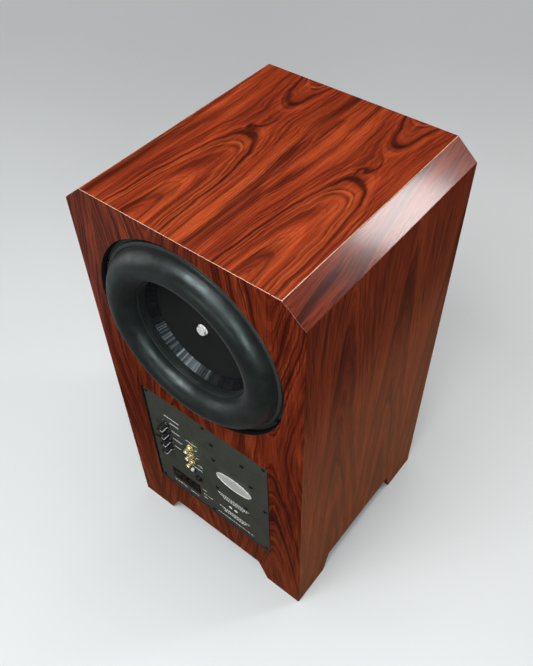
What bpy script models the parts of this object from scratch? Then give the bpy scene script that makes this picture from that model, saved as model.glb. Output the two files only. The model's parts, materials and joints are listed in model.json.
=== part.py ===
"""Floor-standing subwoofer: a bevelled veneered cabinet on four cut-out feet.

The service face looks along -Y and carries a passive radiator above the amplifier plate.
The active driver sits in the opposite face. +Z is up, +X is to the right of somebody facing
the service face, and the origin is on the floor under the middle of the cabinet.
All sizes are in metres.
"""

import math

import bmesh
import bpy
from mathutils import Matrix, Vector

# Cabinet
CABINET_WIDTH = 0.381
CABINET_DEPTH = 0.377
CABINET_HEIGHT = 0.760
BEVEL_WIDTH = 0.033
BEVEL_DROP = 0.028
WALL = 0.019
BAFFLE = 0.025
GAP = 0.0003
NOTCH_RISE = 0.046
REAR_NOTCH_FLOOR = 0.240
REAR_NOTCH_TOP = 0.200
SIDE_NOTCH_FLOOR = 0.224
SIDE_NOTCH_TOP = 0.196
BRACE_HEIGHT = 0.414
BRACE_THICKNESS = 0.018
DAMPING_THICKNESS = 0.012

# Round units, shared by both baffles
UNIT_HEIGHT = 0.5816
RECESS_RADIUS = 0.1597
RECESS_DEPTH = 0.014
CUTOUT_RADIUS = 0.1435
FLANGE_RADIUS = 0.158
FLANGE_TOP = -0.0085
FLANGE_BOTTOM = -0.0135
UNIT_SCREW_CIRCLE = 0.1548
UNIT_SCREWS = 8
UNIT_SCREW = (0.0029, 0.0030, 0.0015, 0.0115)
UNIT_PILOT_RADIUS = 0.0019
RUBBER = 0.0025
SURROUND_OUTER_LIP = 0.1512

# Passive radiator
RADIATOR_ROLL_CIRCLE = 0.1224
RADIATOR_ROLL_RADIUS = 0.0237
RADIATOR_ROLL_HEIGHT = -0.0052
RADIATOR_INNER_LIP = 0.0955
RADIATOR_FRAME_BORE = 0.1400
RADIATOR_SKIRT_RADIUS = 0.1425
RADIATOR_SKIRT_END = -0.0400
RADIATOR_LEDGE_RADIUS = 0.1380
DISH_MOUTH = 0.0945
DISH_RADIUS = 0.0860
DISH_DEPTH = 0.0310
DISH_STEP = 0.0180
RING_SKIN = 0.0030
RING_RIM_RADIUS = 0.1012
BOLT_FLATS = 0.013
DIAPHRAGM_THICKNESS = 0.0030
MASS_RADIUS = 0.0550
MASS_THICKNESS = 0.0120
BOLT_HOLE_RADIUS = 0.0055
BOLT_STEM_RADIUS = 0.0050
BOLT_STEM_REACH = 0.0150
BOLT_HEAD_HEIGHT = 0.0050
BOLT_WASHER_RADIUS = 0.0085
BOLT_WASHER_THICKNESS = 0.0012

# Active driver
WOOFER_ROLL_CIRCLE = 0.1280
WOOFER_ROLL_RADIUS = 0.0210
WOOFER_ROLL_HEIGHT = -0.0025
WOOFER_INNER_LIP = 0.1060
BASKET_BORE = 0.1390
BASKET_SHOULDER_RADIUS = 0.1400
BASKET_SHOULDER = -0.0300
BASKET_FLOOR_RADIUS = 0.0960
BASKET_FLOOR = -0.0960
BASKET_SEAT_RADIUS = 0.0600
BASKET_SHEET = 0.0035
BASKET_SPOKES = 6
BASKET_WINDOW = (0.090, 0.070, 0.034)
BASKET_WINDOW_CIRCLE = 0.130
BASKET_WINDOW_HEIGHT = -0.052
CONE_RADIUS = 0.1050
CONE_RIM_RADIUS = 0.1120
CONE_PAPER = 0.0020
CONE_NECK = -0.0560
CAP_RADIUS = 0.0520
CAP_RIM = -0.0462
CAP_RISE = 0.0110
CAP_PAPER = 0.0010
SPIDER_WAVES = 6
SPIDER_RADIUS = 0.1035
SPIDER_HEIGHT = -0.0735
SPIDER_WAVE = 0.0016
SPIDER_CLOTH = 0.0008
COIL_WALL = 0.0012
COIL_RADIUS = 0.0385
COIL_TOP = -0.0575
COIL_BOTTOM = -0.1180
MAGNET_TOP = -0.1066
MAGNET_THICKNESS = 0.025
MAGNET_BORE = 0.0450
MAGNET_RADIUS = 0.0900
TOP_PLATE_BORE = 0.0400
TOP_PLATE_THICKNESS = 0.0100
MOTOR_PLATE_RADIUS = 0.0800
BACK_PLATE_THICKNESS = 0.0120
VENT_RADIUS = 0.0100
POLE_GAP = 0.0020

# Amplifier plate
PLATE_WIDTH = 0.252
PLATE_HEIGHT = 0.268
PLATE_THICKNESS = 0.003
PLATE_CENTRE = 0.254
PLATE_SETBACK = 0.002
REBATE_MARGIN = 0.003
AMP_OPENING_WIDTH = 0.228
AMP_OPENING_HEIGHT = 0.244
PLATE_SCREW_X = 0.1195
PLATE_SCREW_Z = 0.1275
PLATE_SCREW = (0.0028, 0.0016, 0.0014, 0.0110)
PLATE_PILOT_RADIUS = 0.0018
KNOB_X = -0.0870
KNOB_TOP_Z = 0.3150
KNOB_PITCH = 0.0220
KNOB_RADIUS = 0.0065
KNOB_LENGTH = 0.0160
SHAFT_RADIUS = 0.003
SOCKET_HOLE_RADIUS = 0.0045
SOCKET_DEPTH = 0.0110
JACK_LENGTH = 0.0120
JACK_COLLAR = 0.0028
TRIGGER_LENGTH = 0.0050
TRIGGER_COLLAR = 0.0026
JACK_X = -0.0370
JACK_TOP_Z = 0.2910
JACK_PITCH = 0.0215
SWITCH_X = -0.0370
SWITCH_Z = 0.2260
SWITCH_TRAVEL = 0.004
SWITCH_LEVER = (0.0046, 0.0060)
SWITCH_RISE = 0.0050
TRIGGER_X = -0.0260
TRIGGER_Z = 0.2060
WELL_X = -0.0625
WELL_Z = 0.1570
WELL_WIDTH = 0.067
WELL_HEIGHT = 0.040
WELL_DEPTH = 0.003
MODULE_WIDTH = 0.061
MODULE_HEIGHT = 0.034
MODULE_DEPTH = 0.030
ROCKER_X = -0.0815
ROCKER_TILT = 9.0
INLET_X = -0.0520
DRAWER_Z = 0.1460
DRAWER_SIZE = (0.0218, 0.0150, 0.0055)
DRAWER_LIP = 0.0012
MODULE_FLANGE = 0.0020
MODULE_FLANGE_MARGIN = 0.0046
SOCKET_OPENING = (0.0245, 0.036, 0.0165)
SOCKET_RISE = 0.0035
DRAWER_OPENING = (0.0225, 0.036, 0.0062)
ROCKER_OPENING = (0.0126, 0.026, 0.0206)
ROCKER_WIDTH = 0.0118
ROCKER_HALF = 0.0085
ROCKER_PIVOT_DEPTH = 0.0015
PINS = ((-0.007, 0.001), (0.0, 0.006), (0.007, 0.001))
PIN_SIZE = (0.0020, 0.0170, 0.0040)
PIN_SETBACK = 0.0105
BADGE_X = 0.0555
BADGE_Z = 0.2680
BADGE_WIDTH = 0.074
BADGE_HEIGHT = 0.034
BADGE_THICKNESS = 0.0018
CHAMBER_WALL = 0.012
CHAMBER_DEPTH = 0.1097
BRACE_RAIL = 0.030
HEAT_SINK_FINS = 10
HEAT_SINK_WIDTH = 0.094
HEAT_SINK_BASE = 0.004
HEAT_SINK_REACH = 0.034
HEAT_SINK_HEIGHT = 0.156
HEAT_SINK_X = 0.009
HEAT_SINK_Z = 0.288
BOARD_SIZE = (0.100, 0.0016, 0.176)
BOARD_X = -0.056
BOARD_Z = 0.281
BOARD_SETBACK = 0.0150
POT_RADIUS = 0.0080
TORUS_RADIUS = 0.0220
TORUS_THICKNESS = 0.0115
TORUS_X = 0.0600
TORUS_Z = 0.1680
CABLE_X = -0.020
CABLE_Z = 0.300
CABLE_RADIUS = 0.003
CABLE_HOLE_RADIUS = 0.005

# Rounds are drawn with this many sides
LARGE_ROUND = 36
MEDIUM_ROUND = 24
SMALL_ROUND = 12
CUTTER_ROUND = 48
ROLL_STEPS = 6

HALF_WIDTH = CABINET_WIDTH / 2
HALF_DEPTH = CABINET_DEPTH / 2
REAR = (math.pi / 2, 0.0, 0.0)
FRONT = (-math.pi / 2, 0.0, 0.0)
RADIATOR_PLACE = (0.0, -HALF_DEPTH, UNIT_HEIGHT)
WOOFER_PLACE = (0.0, HALF_DEPTH, UNIT_HEIGHT)
PLATE_FACE_Y = -HALF_DEPTH + PLATE_SETBACK
PLATE_BACK_Y = PLATE_FACE_Y + PLATE_THICKNESS

FINISHES = {
    "veneer": ((0.26, 0.045, 0.022), 0.0, 0.25),
    "board": ((0.42, 0.30, 0.19), 0.0, 0.80),
    "wadding": ((0.80, 0.80, 0.78), 0.0, 0.95),
    "rubber": ((0.020, 0.021, 0.022), 0.0, 0.45),
    "cast_frame": ((0.022, 0.022, 0.023), 0.2, 0.50),
    "gloss_black": ((0.012, 0.012, 0.013), 0.0, 0.15),
    "black_paper": ((0.018, 0.017, 0.015), 0.0, 0.85),
    "spider_cloth": ((0.45, 0.28, 0.10), 0.0, 0.90),
    "steel": ((0.62, 0.62, 0.60), 1.0, 0.25),
    "ferrite": ((0.06, 0.06, 0.065), 0.3, 0.60),
    "copper": ((0.72, 0.33, 0.16), 1.0, 0.35),
    "plate_grey": ((0.052, 0.055, 0.046), 0.0, 0.60),
    "black_plastic": ((0.015, 0.015, 0.016), 0.0, 0.35),
    "white_plastic": ((0.80, 0.80, 0.78), 0.0, 0.40),
    "gold": ((0.85, 0.58, 0.22), 1.0, 0.20),
    "silver_badge": ((0.70, 0.69, 0.66), 0.6, 0.35),
    "aluminium": ((0.70, 0.71, 0.72), 1.0, 0.40),
    "circuit_green": ((0.03, 0.16, 0.07), 0.0, 0.50),
}


# ---------------------------------------------------------------- building blocks


def clear_scene():
    for thing in list(bpy.data.objects):
        bpy.data.objects.remove(thing, do_unlink=True)


def new_collection(name):
    collection = bpy.data.collections.new(name)
    bpy.context.scene.collection.children.link(collection)
    return collection


def make_materials():
    """One Principled material for each finish."""
    made = {}
    for name, (colour, metallic, roughness) in FINISHES.items():
        material = bpy.data.materials.new(name)
        material.use_nodes = True
        shader = material.node_tree.nodes["Principled BSDF"]
        shader.inputs["Base Color"].default_value = (*colour, 1.0)
        shader.inputs["Metallic"].default_value = metallic
        shader.inputs["Roughness"].default_value = roughness
        made[name] = material
    return made


def add_part(name, mesh, finish, location=(0.0, 0.0, 0.0), rotation=(0.0, 0.0, 0.0)):
    part = bpy.data.objects.new(name, mesh)
    part.location = location
    part.rotation_euler = rotation
    if not mesh.materials:
        mesh.materials.append(MATERIALS[finish])
    PARTS.objects.link(part)
    return part


def add_cutter(name, mesh, location=(0.0, 0.0, 0.0), rotation=(0.0, 0.0, 0.0)):
    """A guide solid: it shapes other parts and isn't part of the object."""
    cutter = bpy.data.objects.new(name, mesh)
    cutter.location = location
    cutter.rotation_euler = rotation
    cutter.hide_render = True
    cutter.display_type = "WIRE"
    CUTTERS.objects.link(cutter)
    return cutter


def mesh_from(bm, name):
    mesh = bpy.data.meshes.new(name)
    bmesh.ops.recalc_face_normals(bm, faces=bm.faces)
    bm.to_mesh(mesh)
    bm.free()
    return mesh


def box_mesh(name, size):
    bm = bmesh.new()
    bmesh.ops.create_cube(bm, size=1.0, matrix=Matrix.Diagonal((*size, 1.0)))
    return mesh_from(bm, name)


def cylinder_mesh(name, radius, length, sides):
    bm = bmesh.new()
    bmesh.ops.create_cone(
        bm, cap_ends=True, segments=sides, radius1=radius, radius2=radius, depth=length
    )
    return mesh_from(bm, name)


def prism_mesh(name, outline, length):
    """A flat outline in the local XY plane, pulled out along Z to both sides."""
    bm = bmesh.new()
    corners = [bm.verts.new((x, y, -length / 2)) for x, y in outline]
    base = bm.faces.new(corners)
    pulled = bmesh.ops.extrude_face_region(bm, geom=[base])
    moved = [item for item in pulled["geom"] if isinstance(item, bmesh.types.BMVert)]
    bmesh.ops.translate(bm, verts=moved, vec=(0.0, 0.0, length))
    return mesh_from(bm, name)


def ellipse(width, height, sides):
    angles = [2 * math.pi * step / sides for step in range(sides)]
    return [(math.cos(angle) * width / 2, math.sin(angle) * height / 2) for angle in angles]


def arc(circle, height, radius, start, end, steps):
    """Points of (radius, height) on an arc; the angles are in degrees."""
    points = []
    for step in range(steps + 1):
        angle = math.radians(start + (end - start) * step / steps)
        points.append((circle + radius * math.cos(angle), height + radius * math.sin(angle)))
    return points


def profile_mesh(name, profile):
    """The profile of a turned shape; it closes on itself unless it ends on the axis."""
    points = [(radius, 0.0, height) for radius, height in profile]
    edges = [(i, i + 1) for i in range(len(points) - 1)]
    if profile[0][0] > 0:
        edges.append((len(points) - 1, 0))
    mesh = bpy.data.meshes.new(name)
    mesh.from_pydata(points, edges, [])
    return mesh


def turn(part, sides):
    screw = part.modifiers.new("Turn", "SCREW")
    screw.axis = "Z"
    screw.angle = 2 * math.pi
    screw.steps = sides
    screw.render_steps = sides
    screw.use_merge_vertices = True
    screw.merge_threshold = 0.00005
    screw.use_smooth_shade = True


def turned_part(name, profile, finish, location, facing, sides):
    """A turned part: heights are outwards from the face that it is set in."""
    part = add_part(name, profile_mesh(name, profile), finish, location, facing)
    turn(part, sides)
    return part


def combine(part, tool, operation):
    boolean = part.modifiers.new(operation.title(), "BOOLEAN")
    boolean.operation = operation
    boolean.object = tool


def cut(part, *tools):
    for tool in tools:
        combine(part, tool, "DIFFERENCE")


def join(part, *tools):
    for tool in tools:
        combine(part, tool, "UNION")


def round_cutter(name, radius, length, x, z, y, sides):
    """A round cutter along Y."""
    mesh = cylinder_mesh(name, radius, length, sides)
    return add_cutter(name, mesh, (x, y, z), REAR)


def box_cutter(name, size, centre):
    return add_cutter(name, box_mesh(name, size), centre)


def screw_places(count, circle):
    """(x, z) of each screw on a circle around the round unit's axis."""
    places = []
    for index in range(count):
        angle = 2 * math.pi * (index + 0.5) / count
        places.append((circle * math.cos(angle), UNIT_HEIGHT + circle * math.sin(angle)))
    return places


def plate_screw_places():
    places = []
    for column in (-1, 0, 1):
        for row in (-1, 0, 1):
            if column or row:
                places.append((column * PLATE_SCREW_X, PLATE_CENTRE + row * PLATE_SCREW_Z))
    return places


def pilot_holes(name, places, radius, y_from, y_to):
    """One cutter holding a hole for each screw."""
    bm = bmesh.new()
    length = y_to - y_from
    for x, z in places:
        place = Matrix.Translation((x, (y_from + y_to) / 2, z)) @ Matrix.Rotation(math.pi / 2, 4, "X")
        bmesh.ops.create_cone(
            bm, cap_ends=True, segments=8, radius1=radius, radius2=radius, depth=length, matrix=place
        )
    return add_cutter(name, mesh_from(bm, name))


# ---------------------------------------------------------------- cabinet


def cabinet_faces():
    """Each panel's outward normal, its outer face's distance from the origin and its thickness."""
    faces = {
        "top_panel": (Vector((0, 0, 1)), CABINET_HEIGHT, WALL),
        "rear_baffle": (Vector((0, -1, 0)), HALF_DEPTH, BAFFLE),
        "front_baffle": (Vector((0, 1, 0)), HALF_DEPTH, BAFFLE),
    }
    for side, name in ((-1, "left"), (1, "right")):
        slope = Vector((side * BEVEL_DROP, 0, BEVEL_WIDTH)).normalized()
        corner = Vector((side * HALF_WIDTH, 0, CABINET_HEIGHT - BEVEL_DROP))
        faces[f"{name}_bevel_panel"] = (slope, slope.dot(corner), WALL)
        faces[f"{name}_side_panel"] = (Vector((side, 0, 0)), HALF_WIDTH, WALL)
    return faces


def keep_behind(bm, normal, distance):
    """Cuts away what lies beyond a plane and closes the cut."""
    everything = bm.verts[:] + bm.edges[:] + bm.faces[:]
    result = bmesh.ops.bisect_plane(
        bm, geom=everything, plane_co=normal * distance, plane_no=normal, clear_outer=True
    )
    rim = [item for item in result["geom_cut"] if isinstance(item, bmesh.types.BMEdge)]
    if rim:
        bmesh.ops.edgenet_fill(bm, edges=rim)


def mitre(face, neighbour):
    """The plane from two panels' shared outer edge to their shared inner edge."""
    normal, distance, thickness = face
    other_normal, other_distance, other_thickness = neighbour
    slope = other_normal / other_thickness - normal / thickness
    offset = other_distance / other_thickness - distance / thickness
    return slope.normalized(), offset / slope.length - GAP / 2


def panel_mesh(name, faces):
    """A panel with every edge mitred to the panels around it."""
    normal, distance, thickness = faces[name]
    bm = bmesh.new()
    bmesh.ops.create_cube(bm, size=4 * CABINET_HEIGHT)
    keep_behind(bm, normal, distance)
    keep_behind(bm, -normal, thickness - distance)
    keep_behind(bm, Vector((0, 0, -1)), 0.0)
    for other, face in faces.items():
        if other != name:
            if normal.dot(face[0]) > -0.5:
                keep_behind(bm, *mitre(faces[name], face))
    return mesh_from(bm, name)


def notch_outline(floor_width, top_width):
    return [
        (-floor_width / 2 - 0.0004, -0.001),
        (floor_width / 2 + 0.0004, -0.001),
        (top_width / 2, NOTCH_RISE),
        (-top_width / 2, NOTCH_RISE),
    ]


def notch_cutters():
    """The cut-outs that leave a foot at each corner."""
    across = prism_mesh(
        "across_notch", notch_outline(REAR_NOTCH_FLOOR, REAR_NOTCH_TOP), 2 * CABINET_DEPTH
    )
    along = prism_mesh(
        "along_notch", notch_outline(SIDE_NOTCH_FLOOR, SIDE_NOTCH_TOP), 2 * CABINET_WIDTH
    )
    turn_to_side = (math.pi / 2, 0.0, math.pi / 2)
    return add_cutter("baffle_notch", across, rotation=REAR), add_cutter(
        "side_notch", along, rotation=turn_to_side
    )


def unit_cutters(side, name):
    """The recess and the opening of a round unit in one baffle."""
    place = (0.0, UNIT_HEIGHT, side * HALF_DEPTH)
    recess = round_cutter(f"{name}_recess", RECESS_RADIUS, 2 * RECESS_DEPTH, *place, CUTTER_ROUND)
    opening = round_cutter(f"{name}_opening", CUTOUT_RADIUS, 3 * BAFFLE, *place, CUTTER_ROUND)
    return recess, opening


def amp_cutters():
    rebate = box_cutter(
        "amp_rebate",
        (
            PLATE_WIDTH + 2 * REBATE_MARGIN,
            2 * (PLATE_SETBACK + PLATE_THICKNESS + GAP),
            PLATE_HEIGHT + 2 * REBATE_MARGIN,
        ),
        (0.0, -HALF_DEPTH, PLATE_CENTRE),
    )
    opening = box_cutter(
        "amp_opening",
        (AMP_OPENING_WIDTH, 3 * BAFFLE, AMP_OPENING_HEIGHT),
        (0.0, -HALF_DEPTH, PLATE_CENTRE),
    )
    return rebate, opening


def build_panels():
    faces = cabinet_faces()
    baffle_notch, side_notch = notch_cutters()
    panels = {name: add_part(name, panel_mesh(name, faces), "veneer") for name in faces}
    cut(panels["rear_baffle"], baffle_notch, *unit_cutters(-1, "radiator"), *amp_cutters())
    cut(panels["rear_baffle"], RADIATOR_HOLES, PLATE_HOLES)
    cut(panels["front_baffle"], baffle_notch, *unit_cutters(1, "woofer"))
    cut(panels["left_side_panel"], side_notch)
    cut(panels["right_side_panel"], side_notch)


def inner_size():
    return (
        CABINET_WIDTH - 2 * (WALL + GAP),
        CABINET_DEPTH - 2 * (BAFFLE + GAP),
    )


def build_bottom():
    width, depth = inner_size()
    mesh = box_mesh("bottom_panel", (width, depth, WALL))
    add_part("bottom_panel", mesh, "board", (0.0, 0.0, NOTCH_RISE + WALL / 2))


def build_brace():
    """A shelf with four windows that ties the walls together above the amplifier."""
    width, depth = inner_size()
    brace = add_part(
        "window_brace",
        box_mesh("window_brace", (width, depth, BRACE_THICKNESS)),
        "board",
        (0.0, 0.0, BRACE_HEIGHT),
    )
    rail = BRACE_RAIL
    window = (width / 2 - 1.5 * rail, depth / 2 - 1.5 * rail, 3 * BRACE_THICKNESS)
    for x_side in (-1, 1):
        for y_side in (-1, 1):
            centre = (x_side * (window[0] + rail) / 2, y_side * (window[1] + rail) / 2, BRACE_HEIGHT)
            cut(brace, box_cutter(f"brace_window_{x_side}_{y_side}", window, centre))


def build_amp_chamber():
    """A box behind the amplifier that keeps the cabinet's pressure off it."""
    inner_width = PLATE_WIDTH
    inner_height = PLATE_HEIGHT
    front_y = -HALF_DEPTH + BAFFLE + GAP
    centre = (0.0, front_y + CHAMBER_DEPTH / 2, PLATE_CENTRE)
    outer = (inner_width + 2 * CHAMBER_WALL, CHAMBER_DEPTH, inner_height + 2 * CHAMBER_WALL)
    chamber = add_part("amp_chamber", box_mesh("amp_chamber", outer), "board", centre)
    hollow = (inner_width, CHAMBER_DEPTH, inner_height)
    hollow_centre = (0.0, centre[1] - CHAMBER_WALL, PLATE_CENTRE)
    cut(chamber, box_cutter("chamber_hollow", hollow, hollow_centre))
    exit_y = front_y + CHAMBER_DEPTH
    hole = round_cutter(
        "cable_hole", CABLE_HOLE_RADIUS, 5 * CHAMBER_WALL, CABLE_X, CABLE_Z, exit_y, SMALL_ROUND
    )
    cut(chamber, hole)


def lining_line(inset):
    """Half the cabinet's section, this far inside its outer faces, from the brace to the top."""
    slope = Vector((BEVEL_DROP, BEVEL_WIDTH)).normalized()
    reach = slope.dot(Vector((HALF_WIDTH, CABINET_HEIGHT - BEVEL_DROP))) - inset
    wall_x = HALF_WIDTH - inset
    ceiling = CABINET_HEIGHT - inset
    return [
        (wall_x, BRACE_HEIGHT + BRACE_THICKNESS),
        (wall_x, (reach - slope.x * wall_x) / slope.y),
        ((reach - slope.y * ceiling) / slope.x, ceiling),
    ]


def build_damping():
    """Wadding hung over the side walls, the bevels and the top."""
    outer = lining_line(WALL + 2 * GAP)
    inner = lining_line(WALL + 2 * GAP + DAMPING_THICKNESS)
    right = outer[::-1]
    left = [(-x, z) for x, z in outer]
    inner_left = [(-x, z) for x, z in reversed(inner)]
    outline = left + right + inner + inner_left
    mesh = prism_mesh("damping_blanket", outline, CABINET_DEPTH - 2 * BAFFLE - 0.010)
    add_part("damping_blanket", mesh, "wadding", rotation=REAR)


# ---------------------------------------------------------------- round units


def roll_profile(circle, height, radius, outer_lip, inner_lip):
    """A half-roll rubber surround with a flat lip at each edge."""
    inner_radius = radius - RUBBER
    lip_top = height - 0.0003
    lip_bottom = FLANGE_TOP + GAP
    outer_arc = arc(circle, height, radius, 180.0, 0.0, ROLL_STEPS)
    inner_arc = arc(circle, height, inner_radius, 0.0, 180.0, ROLL_STEPS)
    return (
        outer_arc
        + [(outer_lip, lip_top), (outer_lip, lip_bottom), (circle + inner_radius, lip_bottom)]
        + inner_arc
        + [(circle - inner_radius, lip_bottom), (inner_lip, lip_bottom), (inner_lip, lip_top)]
    )


def cap_screw_profile(sizes):
    """A cylinder-head screw from its head's radius and height, shank radius and full length."""
    head_radius, head, shank_radius, length = sizes
    return [
        (0.0, 0.0),
        (head_radius, 0.0),
        (head_radius, -head),
        (shank_radius, -head),
        (shank_radius, -length),
        (0.0, -length),
    ]


def build_unit_screws(places):
    mesh = profile_mesh("unit_screw", cap_screw_profile(UNIT_SCREW))
    for index, (x, z) in enumerate(places):
        head_y = -HALF_DEPTH - FLANGE_TOP - GAP - UNIT_SCREW[1]
        screw = add_part(f"radiator_screw_{index + 1}", mesh, "steel", (x, head_y, z), REAR)
        turn(screw, SMALL_ROUND)


def build_radiator():
    frame_profile = [
        (RADIATOR_FRAME_BORE, FLANGE_TOP),
        (FLANGE_RADIUS, FLANGE_TOP),
        (FLANGE_RADIUS, FLANGE_BOTTOM),
        (RADIATOR_SKIRT_RADIUS, FLANGE_BOTTOM),
        (RADIATOR_SKIRT_RADIUS, RADIATOR_SKIRT_END),
        (RADIATOR_LEDGE_RADIUS, RADIATOR_SKIRT_END),
        (RADIATOR_LEDGE_RADIUS, RADIATOR_SKIRT_END + 0.0030),
        (RADIATOR_FRAME_BORE, RADIATOR_SKIRT_END + 0.0050),
    ]
    frame = turned_part(
        "radiator_frame", frame_profile, "cast_frame", RADIATOR_PLACE, REAR, LARGE_ROUND
    )
    cut(frame, RADIATOR_HOLES)
    surround = roll_profile(
        RADIATOR_ROLL_CIRCLE,
        RADIATOR_ROLL_HEIGHT,
        RADIATOR_ROLL_RADIUS,
        SURROUND_OUTER_LIP,
        RADIATOR_INNER_LIP,
    )
    turned_part("radiator_surround", surround, "rubber", RADIATOR_PLACE, REAR, LARGE_ROUND)


def build_radiator_mover():
    """The dished diaphragm, its stepped rim, the tuning mass and the bolt that holds it."""
    rim_top = FLANGE_TOP
    step = -DISH_STEP
    floor = -DISH_DEPTH
    skirt = floor - RING_SKIN - 0.0005
    ring_profile = [
        (DISH_MOUTH + 0.0010, rim_top),
        (RING_RIM_RADIUS, rim_top),
        (RING_RIM_RADIUS, rim_top - RING_SKIN),
        (DISH_MOUTH + 0.0040, rim_top - RING_SKIN),
        (DISH_MOUTH + 0.0040, step - RING_SKIN),
        (DISH_RADIUS + RING_SKIN, skirt),
        (DISH_RADIUS, skirt),
        (DISH_RADIUS, floor),
        (DISH_MOUTH, step),
        (DISH_MOUTH + 0.0010, step),
    ]
    turned_part("radiator_ring", ring_profile, "gloss_black", RADIATOR_PLACE, REAR, LARGE_ROUND)
    hole = BOLT_HOLE_RADIUS
    under = floor - DIAPHRAGM_THICKNESS
    diaphragm = [
        (hole, floor),
        (DISH_RADIUS - GAP, floor),
        (DISH_RADIUS - GAP, under),
        (hole, under),
    ]
    turned_part("radiator_diaphragm", diaphragm, "black_paper", RADIATOR_PLACE, REAR, LARGE_ROUND)
    mass_top = under - GAP
    mass_end = mass_top - MASS_THICKNESS
    mass = [(hole, mass_top), (MASS_RADIUS, mass_top), (MASS_RADIUS, mass_end), (hole, mass_end)]
    turned_part("radiator_mass", mass, "steel", RADIATOR_PLACE, REAR, MEDIUM_ROUND)
    seat = floor + GAP
    washer_top = seat + BOLT_WASHER_THICKNESS
    stem_end = mass_top - BOLT_STEM_REACH
    core_top = seat + BOLT_HEAD_HEIGHT - 0.0020
    stem = [
        (0.0, core_top),
        (hole, core_top),
        (hole, washer_top),
        (BOLT_WASHER_RADIUS, washer_top),
        (BOLT_WASHER_RADIUS, seat),
        (BOLT_STEM_RADIUS, seat),
        (BOLT_STEM_RADIUS, stem_end),
        (0.0, stem_end),
    ]
    bolt = turned_part("radiator_bolt", stem, "steel", RADIATOR_PLACE, REAR, SMALL_ROUND)
    head = cylinder_mesh("bolt_head", BOLT_FLATS / math.sqrt(3), BOLT_HEAD_HEIGHT, 6)
    head_y = -HALF_DEPTH - seat - 0.0010 - BOLT_HEAD_HEIGHT / 2
    join(bolt, add_cutter("bolt_head", head, (0.0, head_y, UNIT_HEIGHT), REAR))


def basket_windows():
    """Openings between the basket's spokes."""
    cutters = []
    for index in range(BASKET_SPOKES):
        angle = 2 * math.pi / BASKET_SPOKES * index
        centre = BASKET_WINDOW_CIRCLE * Vector((math.cos(angle), math.sin(angle), 0.0))
        centre.z = BASKET_WINDOW_HEIGHT
        mesh = box_mesh(f"basket_window_{index}", BASKET_WINDOW)
        place = Matrix.Translation(WOOFER_PLACE) @ Matrix.Rotation(-math.pi / 2, 4, "X")
        place = place @ Matrix.Translation(centre) @ Matrix.Rotation(angle, 4, "Z")
        cutter = add_cutter(mesh.name, mesh)
        cutter.matrix_world = place
        cutters.append(cutter)
    return cutters


def build_woofer_frame():
    basket_profile = [
        (BASKET_BORE, FLANGE_TOP),
        (FLANGE_RADIUS, FLANGE_TOP),
        (FLANGE_RADIUS, FLANGE_BOTTOM),
        (BASKET_SHOULDER_RADIUS + 0.0020, FLANGE_BOTTOM),
        (BASKET_SHOULDER_RADIUS, BASKET_SHOULDER),
        (BASKET_FLOOR_RADIUS, BASKET_FLOOR),
        (BASKET_SEAT_RADIUS, BASKET_FLOOR),
        (BASKET_SEAT_RADIUS, BASKET_FLOOR + BASKET_SHEET),
        (BASKET_FLOOR_RADIUS - 0.0020, BASKET_FLOOR + BASKET_SHEET),
        (BASKET_SHOULDER_RADIUS - 0.0030, BASKET_SHOULDER + 0.0010),
    ]
    basket = turned_part(
        "woofer_basket", basket_profile, "cast_frame", WOOFER_PLACE, FRONT, LARGE_ROUND
    )
    cut(basket, *basket_windows())
    surround = roll_profile(
        WOOFER_ROLL_CIRCLE,
        WOOFER_ROLL_HEIGHT,
        WOOFER_ROLL_RADIUS,
        SURROUND_OUTER_LIP,
        WOOFER_INNER_LIP,
    )
    turned_part("woofer_surround", surround, "rubber", WOOFER_PLACE, FRONT, LARGE_ROUND)


def spider_profile():
    """A corrugated ring that centres the coil."""
    inner = COIL_RADIUS + 0.0005
    step = (SPIDER_RADIUS - inner) / SPIDER_WAVES
    top = []
    for index in range(SPIDER_WAVES + 1):
        lift = SPIDER_WAVE if index % 2 else -SPIDER_WAVE
        if index in (0, SPIDER_WAVES):
            lift = 0.0
        top.append((inner + step * index, SPIDER_HEIGHT + lift))
    bottom = [(radius, level - SPIDER_CLOTH) for radius, level in reversed(top)]
    return top + bottom


def build_woofer_mover():
    neck = COIL_RADIUS + 0.0003
    rim = FLANGE_TOP + 0.0002
    cone = [
        (neck, CONE_NECK),
        (CONE_RADIUS, rim),
        (CONE_RIM_RADIUS, rim),
        (CONE_RIM_RADIUS, rim - CONE_PAPER),
        (CONE_RADIUS + 0.0008, rim - CONE_PAPER),
        (neck, CONE_NECK - CONE_PAPER - 0.0005),
    ]
    turned_part("woofer_cone", cone, "black_paper", WOOFER_PLACE, FRONT, LARGE_ROUND)
    sphere = (CAP_RADIUS**2 + CAP_RISE**2) / (2 * CAP_RISE)
    reach = math.degrees(math.asin(CAP_RADIUS / sphere))
    top = arc(0.0, CAP_RIM + CAP_RISE - sphere, sphere, 90.0, 90.0 - reach, 4)
    bottom = [(radius, height - CAP_PAPER) for radius, height in reversed(top[:-1])]
    cap = [(0.0, top[0][1])] + top[1:] + bottom[:-1] + [(0.0, bottom[-1][1])]
    turned_part("woofer_dust_cap", cap, "black_paper", WOOFER_PLACE, FRONT, MEDIUM_ROUND)
    inner = COIL_RADIUS - COIL_WALL
    coil = [
        (inner, COIL_TOP),
        (COIL_RADIUS, COIL_TOP),
        (COIL_RADIUS, COIL_BOTTOM),
        (inner, COIL_BOTTOM),
    ]
    turned_part("woofer_voice_coil", coil, "copper", WOOFER_PLACE, FRONT, MEDIUM_ROUND)
    turned_part("woofer_spider", spider_profile(), "spider_cloth", WOOFER_PLACE, FRONT, MEDIUM_ROUND)


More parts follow.
